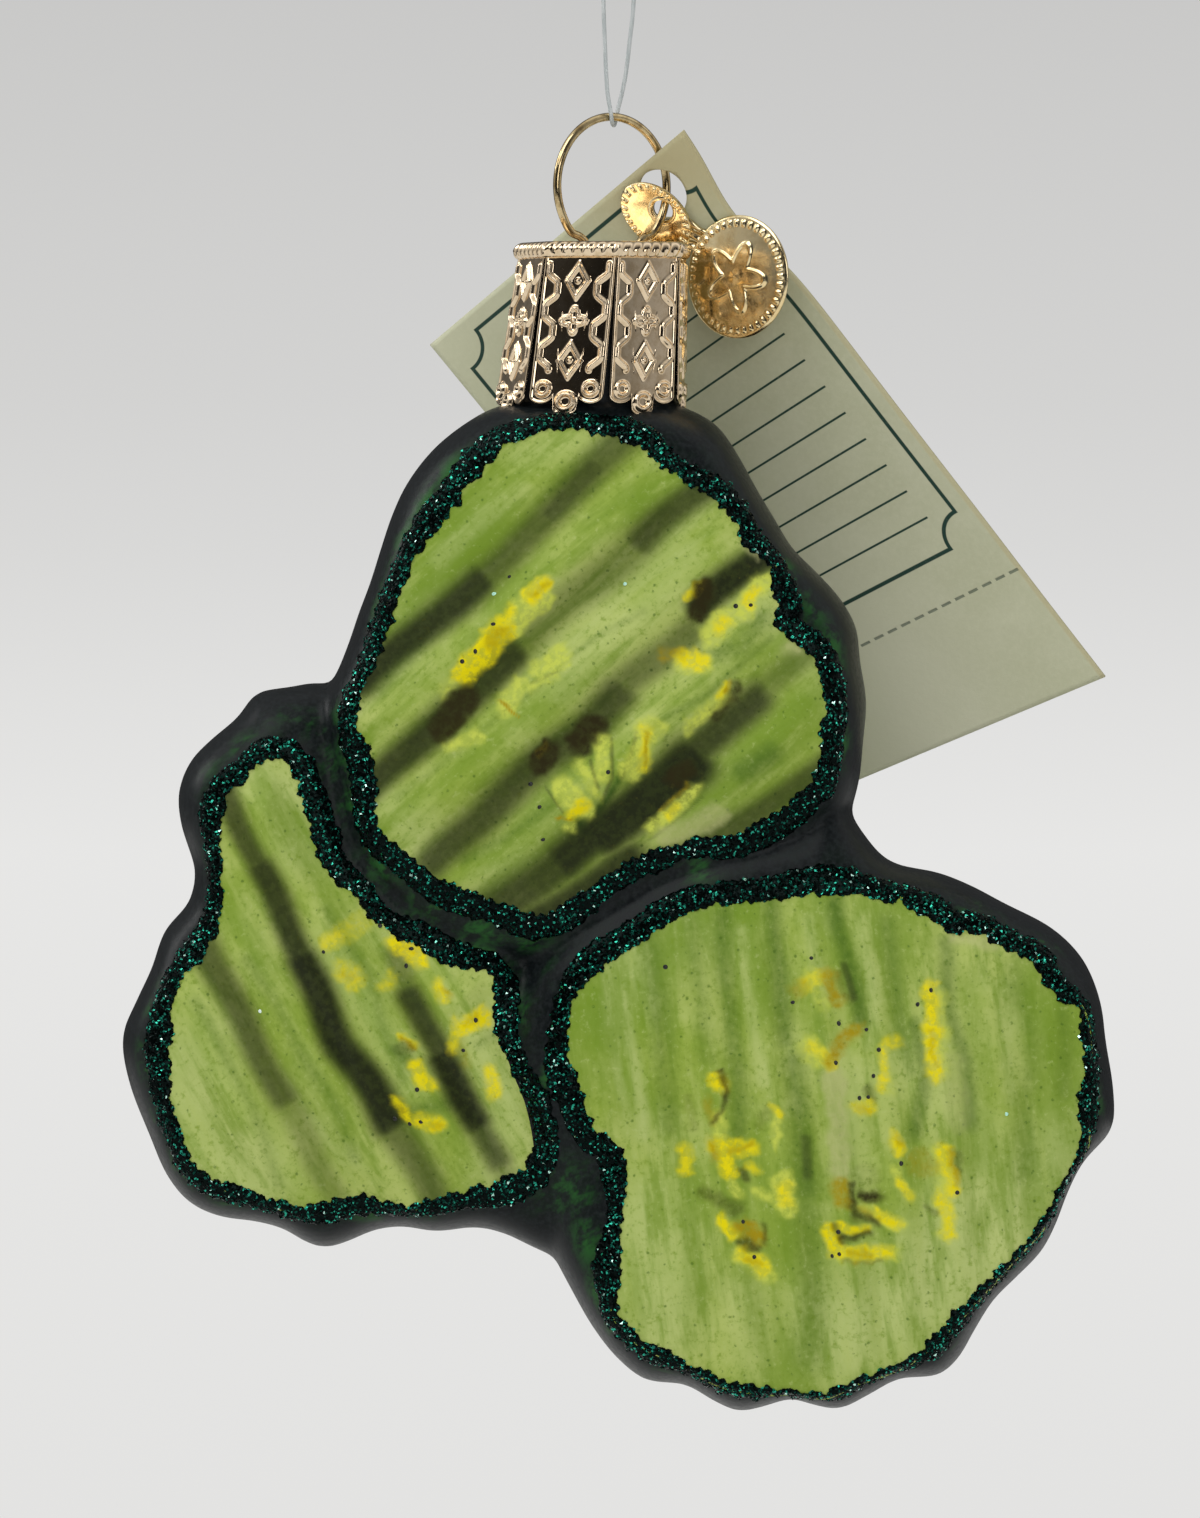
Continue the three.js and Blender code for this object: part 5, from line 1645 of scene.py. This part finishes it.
    def crown(self) -> Thing:
        """Skin the crown: a dished top and a rolled rim of twisted rope with pricked dots."""
        spokes = self.sides * 120
        angle = np.linspace(0, TURN, spokes, endpoint=False)
        step = TURN / self.sides
        off = (angle + step / 2) % step - step / 2
        side = self.flat + (self.flat / np.cos(off) - self.flat) * 0.9
        roll = self.roll
        outline = [(-5.5, 0.34), (-3.0, 0.33), (-1.25, 0.30), (-1.00, 0.22)]
        outline += [(roll * math.sin(turn) - 0.40, roll - 0.02 - roll * math.cos(turn))
                    for turn in np.linspace(-0.9, 2.9, 20)]
        rings = []
        turns = self.sides * self.ropes
        for number, (reach, drop) in enumerate(outline):
            twist = math.sin(math.pi * (number - 4) / 20) if number > 4 else 0.0
            rope = 0.075 * twist * np.cos(angle * turns + 2.2 * drop / roll + 0.8 * np.sin(3 * angle))
            hollow = np.clip(np.cos(angle * turns + 2.6), 0, 1) ** 3
            prick = 0.13 * np.exp(-((drop - 0.78) / 0.15) ** 2) * hollow
            rings.append((side + reach + rope - prick, drop))
        rings += [(side + reach, drop) for reach, drop in ((-0.62, 1.28), (-0.62, 0.86), (-5.5, 0.74))]
        sine, cosine = np.sin(angle), np.cos(angle)
        loops = [np.stack([ring * sine, -ring * cosine, np.full(spokes, self.top - drop)], axis=-1)
                 for ring, drop in rings]
        return make_object("crown", *closed_ring_mesh(loops))

    def build(self) -> Thing:
        """Set the tabs round the crown, and the whole on the neck."""
        recipe = Recipe("crown_cap", {"Tab": "NodeSocketObject", "Count": "NodeSocketInt",
                                      "Lean": "NodeSocketFloat", "Material": "NodeSocketMaterial"})
        nodes, given = recipe.nodes, recipe.given
        line = nodes.add("GeometryNodeMeshLine", {"Count": given["Count"], "Offset": (0.0, 0.0, 0.0)})
        index = nodes.add("GeometryNodeInputIndex").outputs[0]
        angle = nodes.times(nodes.maths("DIVIDE", index, given["Count"]), TURN)
        spin = nodes.add("ShaderNodeCombineXYZ", {2: angle}).outputs[0]
        tab = nodes.add("GeometryNodeObjectInfo", {"Object": given["Tab"]}, transform_space="ORIGINAL")
        tabs = nodes.add("GeometryNodeInstanceOnPoints",
                         {"Points": line.outputs[0], "Instance": tab.outputs["Geometry"], "Rotation": spin})
        place = nodes.add("GeometryNodeTransform",
                          {"Geometry": nodes.join(given["Mesh"], tabs.outputs[0]),
                           "Translation": (self.x * MM, self.y * MM, 0.0),
                           "Rotation": (0.0, 0.0, self.turn)})
        position = nodes.add("GeometryNodeInputPosition").outputs[0]
        level = nodes.add("ShaderNodeSeparateXYZ", {0: position}).outputs[2]
        slant = nodes.times(nodes.less(level, self.top * MM), given["Lean"])
        aside = nodes.add("ShaderNodeCombineXYZ", {0: slant}).outputs[0]
        real = nodes.add("GeometryNodeRealizeInstances", {"Geometry": place.outputs[0]}).outputs[0]
        recipe.close(nodes.add("GeometryNodeSetPosition", {"Geometry": real, "Offset": aside}).outputs[0])
        tab_object = self.tab()
        values = {"Tab": tab_object, "Count": self.sides, "Lean": self.lean,
                  "Material": self.finish.material()}
        cap = recipe.run(self.crown(), "pressed_cap", values)
        bpy.data.objects.remove(tab_object)
        cap.data.shade_smooth()
        return cap


@dataclass
class HangerWire:
    """The sprung wire: a ring above the cap and two legs pinched in the neck."""

    thick: float = 0.6
    ring_radius: float = 5.0
    ring_turn: float = math.radians(38)
    ring_z: float = -4.7
    cap_top: float = -8.8
    hole_reach: float = 2.47
    leg_at: tuple[float, float] = (-1.1, -1.0)   # X and Y of the middle between the legs, in the neck
    low_angle: float = math.radians(-42)
    sides: int = 20
    finish: Finish = PressedMetal("antique_wire", (0.66, 0.52, 0.29), (0.34, 0.24, 0.11), 0.12, 1.1)

    def plane(self, along: float, z: float) -> tuple[float, float, float]:
        """Give a place in the ring's plane."""
        return along * math.cos(self.ring_turn), along * math.sin(self.ring_turn), z

    @property
    def aside(self) -> float:
        """Give how far the legs are shifted along the ring's plane."""
        return self.leg_at[0] * math.cos(self.ring_turn) + self.leg_at[1] * math.sin(self.ring_turn)

    def route(self) -> np.ndarray:
        """Give the wire's centre line in millimetres."""
        leg = (
            (4.1, -10.7, 1.0), (4.1 * 0.86, -7.49, 1.0), (2.53, -3.85, 0.7), (2.2, -1.71, 0.25),
            (self.hole_reach, 0.0, 0.0), (self.hole_reach + 0.45, 0.42, 0.0),
        )
        points = [self.plane(s + lean * self.aside, self.cap_top + h) for s, h, lean in leg]
        sweep = math.pi - 2 * self.low_angle
        bends = 14
        for i in range(bends + 1):
            angle = self.low_angle + sweep * i / bends
            points.append(self.plane(self.ring_radius * math.cos(angle),
                                     self.ring_z + self.ring_radius * math.sin(angle)))
        points += [self.plane(lean * self.aside - s, self.cap_top + h) for s, h, lean in reversed(leg)]
        return smooth_curve(points, False, 12)

    def build(self) -> Thing:
        """Skin the wire and dress it."""
        wire = make_object("ring_wire", *tube(self.route(), self.thick / 2, self.sides))
        self.finish.dress(wire)
        return wire


@dataclass
class Charm:
    """The stamped charm: a small lobe on the wire, a folded strap and a larger lobe."""

    hole_radius: float = 0.80
    small: tuple[float, float] = (3.0, 2.3)
    small_axis: float = math.radians(-45)
    small_turn: float = math.radians(27)
    small_lean: float = math.radians(24)
    large: float = 4.45
    large_turn: float = math.radians(36)
    hang: float = 1.6
    lobe_from_hole: Pixel = (-0.72, -0.52)
    fold_from_lobe: Pixel = (2.97, -1.85)
    large_from_fold: Pixel = (3.61, -2.74)
    plate: float = 0.13           # half the sheet between its raised parts
    strap: float = 1.2            # half the strap's width
    strap_half: float = 0.09      # half its thickness
    spokes: int = 320
    rings: int = 72
    finish: Finish = PressedMetal("stamped_brass", (0.95, 0.79, 0.47), (0.82, 0.62, 0.31), 0.15, 0.5)

    def axes(self, turn: float, lean: float) -> np.ndarray:
        """Give a lobe's axes: along it, up it and out of it."""
        s, c = math.sin(turn), math.cos(turn)
        return np.array([
            (c, -s, 0.0),
            (-s * math.sin(lean), -c * math.sin(lean), math.cos(lean)),
            (-s * math.cos(lean), -c * math.cos(lean), -math.sin(lean)),
        ])

    def stamp(self, share: np.ndarray, angle: np.ndarray, teeth: int, star: bool) -> np.ndarray:
        """Give the stamped relief of a lobe.

        Args:
            share: distance from the middle as a share of the lobe.
            angle: angle about the middle.
            teeth: dashes in the ring.
            star: whether a star stands in the middle.

        Returns:
            The height in millimetres.
        """
        dome = (0.30 if star else 0.10) * np.clip(1 - share ** 2, 0, 1)
        rim = 0.05 * np.exp(-((share - 0.985) / 0.03) ** 2)
        tooth = np.clip(np.cos(angle * teeth) + 0.15, 0, 1) ** 0.5
        dash = (0.12 if star else 0.20) * tooth * np.exp(-((share - 0.875) / (0.05 if star else 0.085)) ** 4)
        height = dome + rim + dash
        if star:
            petal = 0.42 + 0.15 * np.cos(angle * 5 + 0.6)
            height = height + 0.13 * np.exp(-((share - petal) / 0.038) ** 2)
            height = height + 0.11 * np.exp(-(share / 0.09) ** 2)
        return height

    def lobe(self, centre: np.ndarray, axes: np.ndarray, radii: tuple[float, float], axis: float,
             hole: Pixel | None, teeth: int) -> Shell:
        """Skin one lobe.

        Args:
            centre: its middle.
            axes: its axes.
            radii: its half axes.
            axis: angle of the longer one.
            hole: middle of the hole in it, or none.
            teeth: dashes in its ring.

        Returns:
            The points and the faces.
        """
        angle = np.linspace(0, TURN, self.spokes, endpoint=False)
        start = np.array(hole if hole else (0.0, 0.0))
        inner = self.hole_radius if hole else 0.02
        rim = np.stack([radii[0] * np.cos(angle), radii[1] * np.sin(angle)], axis=-1)
        turn = np.array([[math.cos(axis), math.sin(axis)], [-math.sin(axis), math.cos(axis)]])
        rim = rim @ turn
        toward = rim - start
        order = np.unwrap(np.arctan2(toward[:, 1], toward[:, 0]))
        around = start + inner * np.stack([np.cos(order), np.sin(order)], axis=-1)
        top, low = [], []
        for share in np.linspace(0, 1, self.rings):
            flat = around + (rim - around) * share
            own = flat @ turn.T
            reach = np.hypot(own[:, 0] / radii[0], own[:, 1] / radii[1])
            high = self.stamp(reach, np.arctan2(own[:, 1], own[:, 0]), teeth, hole is None)
            edge = 0.10 * float(smooth_step(np.array(share), 0.95, 1.0))
            if hole:
                high = high + 0.07 * np.exp(-((np.hypot(*(flat - start).T) - inner - 0.16) / 0.1) ** 2)
            base = centre + flat @ axes[:2]
            top.append(base + (self.plate + high - edge)[:, None] * axes[2])
            low.append(base - (self.plate - edge) * axes[2])
        return closed_ring_mesh(top + low[::-1])

    def neck(self, path: np.ndarray, normals: np.ndarray) -> Shell:
        """Skin the folded strap between the lobes."""
        way = np.gradient(path, axis=0)
        way /= np.linalg.norm(way, axis=1, keepdims=True)
        aside = np.cross(normals, way)
        aside /= np.linalg.norm(aside, axis=1, keepdims=True)
        across = np.linspace(-1, 1, 17)
        share = np.linspace(0, 1, len(path))
        pinch = 1 - 0.22 * np.exp(-((share - 0.5) / 0.2) ** 2)
        loops = []
        for side, places in ((1, across), (-1, across[::-1])):
            for place in places:
                crease = 0.10 * math.cos(2.5 * math.pi * place) * np.exp(-((share - 0.5) / 0.3) ** 2)
                loops.append(path + (self.strap * pinch * place)[:, None] * aside
                             + (crease + side * self.strap_half)[:, None] * normals)
        return capped_mesh(np.stack(loops, axis=1))

    def outward(self, points: np.ndarray, faces: list) -> Shell:
        """Turn the faces of a part outwards."""
        piece = make_object("part", points, faces)
        turned = [list(face.vertices) for face in piece.data.polygons]
        bpy.data.objects.remove(piece)
        return points, turned

    def build(self) -> Thing:
        """Join the lobes and the strap, and dress them."""
        small = self.axes(self.small_turn, self.small_lean)
        large = self.axes(self.large_turn, 0.0)
        ring = HangerWire()
        along = math.sqrt(ring.ring_radius ** 2 - self.hang ** 2)
        hole = np.array(ring.plane(along, ring.ring_z - self.hang))
        centre = hole + np.array(self.lobe_from_hole) @ small[:2]
        fold = centre + np.array(self.fold_from_lobe) @ small[:2]
        other = fold + np.array(self.large_from_fold) @ large[:2]
        back = (-self.lobe_from_hole[0], -self.lobe_from_hole[1])
        first = centre + (fold - centre) * 0.55
        last = other + (fold - other) * 0.72
        path = smooth_curve([first, (first + fold) / 2, fold, (last + fold) / 2, last], False, 8)
        blend = smooth_step(np.linspace(0, 1, len(path)), 0.3, 0.7)[:, None]
        normals = small[2] * (1 - blend) + large[2] * blend
        normals /= np.linalg.norm(normals, axis=1, keepdims=True)
        parts = [
            self.lobe(centre, small, self.small, self.small_axis, back, 26),
            self.lobe(other, large, (self.large, self.large), 0.0, None, 40),
            self.neck(path, normals),
        ]
        charm = make_object("stamped_charm", *joined([self.outward(*part) for part in parts]))
        self.finish.dress(charm)
        return charm


# Tag and thread


@dataclass
class HangTag:
    """The paper tag: a thin card that curls, punched near its upper right edge."""

    top: tuple[float, float, float] = (5.2, 0.3, -0.60)
    left: tuple[float, float, float] = (-13.2, 17.6, -15.75)
    right: tuple[float, float, float] = (35.6, 4.0, -40.0)
    bottom: tuple[float, float, float] = (14.2, 13.0, -49.0)
    thick: float = 0.27
    hole_radius: float = 1.9
    hole_along: float = 0.052
    hole_across: float = 0.157
    hole_sides: int = 72
    curl: float = 1.0             # how far the edge is rolled in beside the hole
    bend: float = 0.20            # how far the short edge is bent back, clear of the wire
    rows: int = 120
    columns: int = 64
    finish: PrintedCard = PrintedCard("printed_card")

    def at(self, along: np.ndarray, across: np.ndarray) -> np.ndarray:
        """Give the place on the card at shares of its length and width."""
        u, v = np.asarray(along)[..., None], np.asarray(across)[..., None]
        top, left, right, bottom = map(np.array, (self.top, self.left, self.right, self.bottom))
        curl = self.curl / self.finish.width * np.exp(-((u - 0.14) / 0.09) ** 2)
        v = v + curl * (1 - smooth_step(v, 0.0, 0.35))
        return (top + (left - top) * v) * (1 - u) + (right + (bottom - right) * v) * u

    def normal(self, along: np.ndarray, across: np.ndarray) -> np.ndarray:
        """Give the way the printed side faces."""
        step = 1e-3
        way = self.at(along + step, across) - self.at(along - step, across)
        over = self.at(along, across + step) - self.at(along, across - step)
        out = np.cross(way, over)
        return out / np.linalg.norm(out, axis=-1, keepdims=True)

    def crease(self, along: np.ndarray, across: np.ndarray) -> np.ndarray:
        """Give the soft dents of handling, in millimetres."""
        u, v = along * self.finish.length, across * self.finish.width
        dents = 0.05 * np.exp(-((u + 0.9 * v - 8.6) / 0.35) ** 2) * np.exp(-((v - 8.4) / 1.6) ** 2)
        dents += 0.05 * np.exp(-((u - 0.7 * v + 5.6) / 0.3) ** 2) * np.exp(-((v - 10.4) / 1.2) ** 2)
        dents += 0.03 * np.exp(-((u - 44.5 + 0.3 * v) / 0.4) ** 2) * np.exp(-((v - 4) / 2.5) ** 2)
        dents += self.bend * np.exp(-(u / 1.75) ** 2) * np.exp(-((v - 3.64) / 3.08) ** 2)
        return dents + 0.02 * ripple(u, v, 7.0, 3)

    def build(self) -> Thing:
        """Skin the card with its own map, punch the hole and dress it."""
        u, v = np.meshgrid(np.linspace(0, 1, self.rows), np.linspace(0, 1, self.columns), indexing="ij")
        place, out, dent = self.at(u, v), self.normal(u, v), self.crease(u, v)[..., None]
        front = (place + out * (self.thick / 2 - dent)).reshape(-1, 3)
        back = (place - out * (self.thick / 2 + dent)).reshape(-1, 3)
        count = len(front)
        faces = grid_faces(self.rows, self.columns, wrap=False).tolist()
        faces += [[corner + count for corner in face[::-1]] for face in faces]
        loop = grid_border(self.rows, self.columns)
        for a, b in zip(loop, loop[1:] + loop[:1]):
            faces.append([a, a + count, b + count, b])
        card = make_object("card", np.vstack([front, back]), faces)
        flat = np.stack([u.ravel() * self.finish.length, v.ravel() * self.finish.width], axis=-1)
        share = np.tile(flat, (2, 1))
        corners = np.empty(len(card.data.loops), np.int32)
        card.data.loops.foreach_get("vertex_index", corners)
        chart = card.data.uv_layers.new(name="card_mm")
        chart.data.foreach_set("uv", share[corners].astype(np.float32).ravel())
        self.finish.dress(card)
        return self.punch(card)

    def punch(self, card: Thing) -> Thing:
        """Cut the round hole out of the card."""
        along, across = np.array(self.hole_along), np.array(self.hole_across)
        middle, out = self.at(along, across), self.normal(along, across)
        reach = np.linspace(-1.5, 1.5, 2)[:, None] * out
        tool = make_object("punch", *tube(middle + reach, self.hole_radius, self.hole_sides))
        cut = card.modifiers.new("punch", "BOOLEAN")
        cut.object = tool
        cut.operation = "DIFFERENCE"
        cut.solver = "EXACT"
        mesh = plain_mesh(card)
        bpy.data.objects.remove(card)
        bpy.data.objects.remove(tool)
        return linked("paper_tag", mesh)


THREAD_ROUTE = (
    (0.28, -0.16, 16.0), (0.02, -0.24, 14.6), (-0.42, -0.34, 12.4), (-0.62, -0.42, 10.2),
    (-0.60, -0.48, 8.0), (-0.52, -0.52, 5.8), (-0.43, -0.56, 3.6), (-0.32, -0.62, 2.0),
    (-0.16, -0.68, 1.0), (-0.06, -0.68, 0.4), (0.00, -0.50, -0.08), (0.12, 0.05, -0.32),
    (0.24, 0.66, -0.06), (0.34, 0.88, 0.4), (0.46, 0.88, 1.0), (0.72, 0.80, 2.0), (1.02, 0.68, 3.6),
    (1.28, 0.56, 5.8), (1.52, 0.48, 8.0), (1.60, 0.40, 10.2), (1.46, 0.30, 12.4), (1.12, 0.20, 14.6),
    (0.92, 0.16, 16.0),
)


@dataclass
class HangThread:
    """The nylon thread, looped under the ring wire, and the barrel knot that joins its ends."""

    thick: float = 0.3
    knot_low: float = 16.3
    knot_high: float = 17.8
    knot_x: float = 0.6
    knot_turns: int = 4
    finish: Finish = Nylon("clear_nylon")

    @cached_property
    def path(self) -> np.ndarray:
        """Give the thread's centre line in metres."""
        return smooth_curve(THREAD_ROUTE, False, 8) * MM

    @property
    def length(self) -> float:
        """Give the thread's length in metres."""
        return float(np.linalg.norm(np.diff(self.path, axis=0), axis=1).sum())

    def build(self) -> Thing:
        """Make the thread as one open round curve."""
        path = self.path
        curve = bpy.data.curves.new("nylon_thread", "CURVE")
        curve.dimensions = "3D"
        curve.bevel_depth = self.thick / 2 * MM
        curve.bevel_resolution = 4
        curve.use_fill_caps = True
        spline = curve.splines.new("POLY")
        spline.points.add(len(path) - 1)
        spline.points.foreach_set("co", np.hstack([path, np.ones((len(path), 1))]).ravel())
        curve.materials.append(self.finish.material())
        return linked("nylon_thread", curve)

    def knot(self) -> Thing:
        """Wind four turns round two strands that stick out above."""
        radius = self.thick / 2
        share = np.linspace(0, 1, self.knot_turns * 24)
        angle = share * self.knot_turns * TURN
        low, high = self.knot_low + radius, self.knot_high - 0.2 - radius
        reach = 0.44 - 0.06 * np.abs(2 * share - 1) ** 2
        rise = low + (high - low) * share
        coil = np.stack([self.knot_x + reach * np.cos(angle), reach * np.sin(angle), rise], axis=-1)
        strands = []
        for side in (-1, 1):
            rise = np.linspace(self.knot_low, self.knot_high, 8)
            lean = 0.14 + 0.10 * smooth_step(rise, high, self.knot_high)
            strands.append(np.stack([self.knot_x + side * lean, np.zeros(8), rise], axis=-1))
        knot = make_object("barrel_knot", *joined([tube(path, radius, 12) for path in [coil, *strands]]))
        self.finish.dress(knot)
        return knot


# Studio


@dataclass
class Studio:
    """Camera, soft light, pale background and floor."""

    camera_x: float = -0.864
    camera_z: float = -45.94
    distance: float = 1.6
    view_height: float = 109.3
    wall: tuple = ((0.0, 0.770), (0.34, 0.790), (0.44, 0.797), (0.54, 0.748), (0.638, 0.692), (0.737, 0.650),
                   (0.835, 0.627), (1.0, 0.585))
    mirrored: tuple = ((0.0, 0.06), (0.16, 0.16), (0.34, 0.62), (0.48, 0.85), (0.60, 0.50), (0.74, 0.22),
                       (0.84, 0.04), (0.93, 0.008))
    floor_z: float = -0.16
    floor_radius: float = 1.2
    floor_thick: float = 4.0      # in millimetres
    floor_sides: int = 128
    ambient: float = 0.66

    def build(self) -> None:
        """Set the camera, the lamps, the world and the floor."""
        self.camera()
        self.lamp("key", (-0.35, -0.42, 0.62), 0.6, 2.8)
        self.lamp("fill", (0.22, -0.95, 0.20), 0.45, 1.5)
        self.lamp("side", (-0.80, 0.25, 0.42), 0.35, 1.3)
        self.world()
        self.floor()
        bpy.context.scene.view_settings.view_transform = "Standard"

    def camera(self) -> None:
        """Stand a long lens level with the middle of the photograph."""
        camera = bpy.data.cameras.new("camera")
        camera.sensor_width = 36.0
        camera.lens = camera.sensor_width * self.distance / MM / self.view_height
        camera.clip_start = 0.05
        camera.clip_end = 20.0
        stand = linked("camera", camera)
        stand.location = (self.camera_x * MM, -self.distance, self.camera_z * MM)
        stand.rotation_euler = (math.pi / 2, 0.0, 0.0)
        bpy.context.scene.camera = stand

    def lamp(self, name: str, place: Sequence[float], size: float, power: float) -> None:
        """Hang a square lamp that faces the ornament."""
        light = bpy.data.lights.new(name, "AREA")
        light.energy = power
        light.size = size
        stand = linked(name, light)
        stand.location = place
        target = Vector((0.0, 0.0, self.camera_z * MM))
        stand.rotation_euler = (target - Vector(place)).to_track_quat("-Z", "Y").to_euler()

    def world(self) -> None:
        """Light from all round, show a pale wall, and keep the camera's side of reflections dark."""
        world = bpy.data.worlds.new("studio")
        world.use_nodes = True
        world.node_tree.nodes.clear()
        nodes = Nodes(world.node_tree)
        way = nodes.add("ShaderNodeSeparateXYZ", {0: nodes.add("ShaderNodeTexCoord").outputs["Generated"]})
        half = math.sin(math.atan(self.view_height * MM / 2 / self.distance))
        share = nodes.add("ShaderNodeMapRange",
                          {"Value": way.outputs[2], "From Min": -half, "From Max": half})
        wall = self.ramp(nodes, share.outputs[0], self.wall)
        front = nodes.times(way.outputs[1], -1.0)
        round_about = nodes.add("ShaderNodeMapRange", {"Value": front, "From Min": -1.0})
        seen = self.ramp(nodes, round_about.outputs[0], self.mirrored)
        path = nodes.add("ShaderNodeLightPath").outputs
        plain = nodes.add("ShaderNodeBackground", {0: (1.0, 1.0, 0.99, 1.0), 1: self.ambient})
        height = nodes.span(way.outputs[2], -0.6, 0.7, 0.55, 1.20)
        mirror = nodes.add("ShaderNodeBackground", {0: seen, 1: height})
        backdrop = nodes.add("ShaderNodeBackground", {0: wall})
        glossy = nodes.add("ShaderNodeMixShader",
                           {0: path["Is Glossy Ray"], 1: plain.outputs[0], 2: mirror.outputs[0]})
        straight = nodes.maths("MAXIMUM", path["Is Camera Ray"], path["Is Transmission Ray"])
        final = nodes.add("ShaderNodeMixShader", {0: straight, 1: glossy.outputs[0], 2: backdrop.outputs[0]})
        nodes.add("ShaderNodeOutputWorld", {"Surface": final.outputs[0]})
        bpy.context.scene.world = world

    def ramp(self, nodes: Nodes, share: Socket, stops: tuple) -> Socket:
        """Give a grey that follows stops.

        Args:
            nodes: the tree.
            share: place between the ends, from 0 to 1.
            stops: place and brightness of each stop.

        Returns:
            The grey.
        """
        node = nodes.add("ShaderNodeValToRGB", {0: share})
        elements = node.color_ramp.elements
        while len(elements) < len(stops):
            elements.new(0.5)
        for element, (position, shade) in zip(elements, stops):
            element.position = position
            element.color = (shade, shade * 0.997, shade * 0.985, 1.0)
        return node.outputs[0]

    def floor(self) -> None:
        """Lay a round pale floor below the hanging ornament."""
        angle = np.linspace(0, TURN, self.floor_sides, endpoint=False)
        rim = np.stack([np.cos(angle), np.sin(angle), 0 * angle], axis=-1) * self.floor_radius / MM
        rim[:, 2] = self.floor_z / MM
        floor = make_object("floor", *capped_mesh([rim, rim - (0.0, 0.0, self.floor_thick)]))
        floor.data.shade_flat()
        FloorPaint("floor_paint").dress(floor)


@dataclass(frozen=True)
class FloorPaint(Finish):
    """Plain pale floor."""

    pale: Colour = (0.74, 0.74, 0.725)
    paler: Colour = (0.77, 0.77, 0.755)
    fade_from: float = 500.0
    fade_to: float = 1150.0

    def shader(self, nodes: Nodes) -> Socket:
        """Give a matt pale surface that runs out into the wall."""
        place = nodes.place()
        cloud = nodes.noise(place, 0.004, 2.0)
        colour = nodes.mix(nodes.span(cloud, 0.3, 0.7), self.pale, self.paler)
        solid = nodes.surface({"Base Color": colour, "Roughness": 0.9, "Specular IOR Level": 0.2})
        reach = nodes.add("ShaderNodeVectorMath", {0: place}, operation="LENGTH").outputs["Value"]
        gone = nodes.add("ShaderNodeBsdfTransparent").outputs[0]
        share = nodes.span(reach, self.fade_from, self.fade_to)
        return nodes.add("ShaderNodeMixShader", {0: share, 1: solid, 2: gone}).outputs[0]


def settle(piece: Thing, body: str, slot: str, *nodes: str) -> None:
    """Let a piece ride on a body in place of some nodes, and report it.

    Args:
        piece: the finished piece.
        body: the body that carries it.
        slot: the record's material slot, not used.
        nodes: the nodes that it stands for.
    """
    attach(piece, body)
    if nodes:
        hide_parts(*nodes)
    faces = len(piece.data.polygons) if piece.type == "MESH" else 0
    LOG.info("%s rides on %s, %d faces", piece.name, body, faces)


def main() -> None:
    """Build every piece in order and set the studio."""
    logging.basicConfig(level=logging.INFO, format="%(message)s")
    Studio().build()

    thread = HangThread()
    knot = thread.knot()
    settle(knot, "hanger", "thread_nylon", "thread_knot")
    strand = thread.build()
    settle(strand, "hanger", "thread_nylon", "hang_thread")

    settle(HangerWire().build(), frame_body("hanger_wire"), "ring_metal", "hanger_wire")
    settle(CrownCap().build(), frame_body("crown_cap"), "cap_metal", "crown_cap")
    settle(Charm().build(), frame_body("charm"), "charm_metal", "charm")
    settle(HangTag().build(), frame_body("hang_tag"), "tag_card", "hang_tag")

    glass = GlassBody().build()
    settle(glass, "ornament", "slice_glass", "glass_body")
    skin = BVHTree.FromObject(glass, bpy.context.evaluated_depsgraph_get())
    panels = [FacePanel(cut, Side.FRONT) for cut in SLICES]
    panels += [FacePanel(cut, Side.BACK, spokes=320, rings=72) for cut in SLICES]
    for panel in panels:
        settle(panel.build(), "ornament", "slice_glass", "glass_body")
    dots = {panel.name: panel.places(panel.cut.dots) for panel in panels}
    flecks = {panel.name: panel.places(panel.cut.flecks) for panel in panels}
    drops = Drops("dots", 0.165, Enamel("dark_enamel")).build(dots)
    drops += Drops("flecks", 0.17, LooseFlake("loose_flake")).build(flecks)
    for drop in drops:
        settle(drop, "ornament", "slice_glass", "glass_body")
    recipe = glitter_recipe()
    for number, panel in enumerate(panels):
        band = GlitterBand(panel.cut, panel.side, 40 + 10 * number).build(skin, recipe)
        settle(band, "ornament", "rim_glitter", f"{panel.name}_glitter")


def frame_body(node: str) -> str:
    """Give the body that carries a node of the frame."""
    return frame["nodes"][node]["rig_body"]


if __name__ == "__main__":
    main()
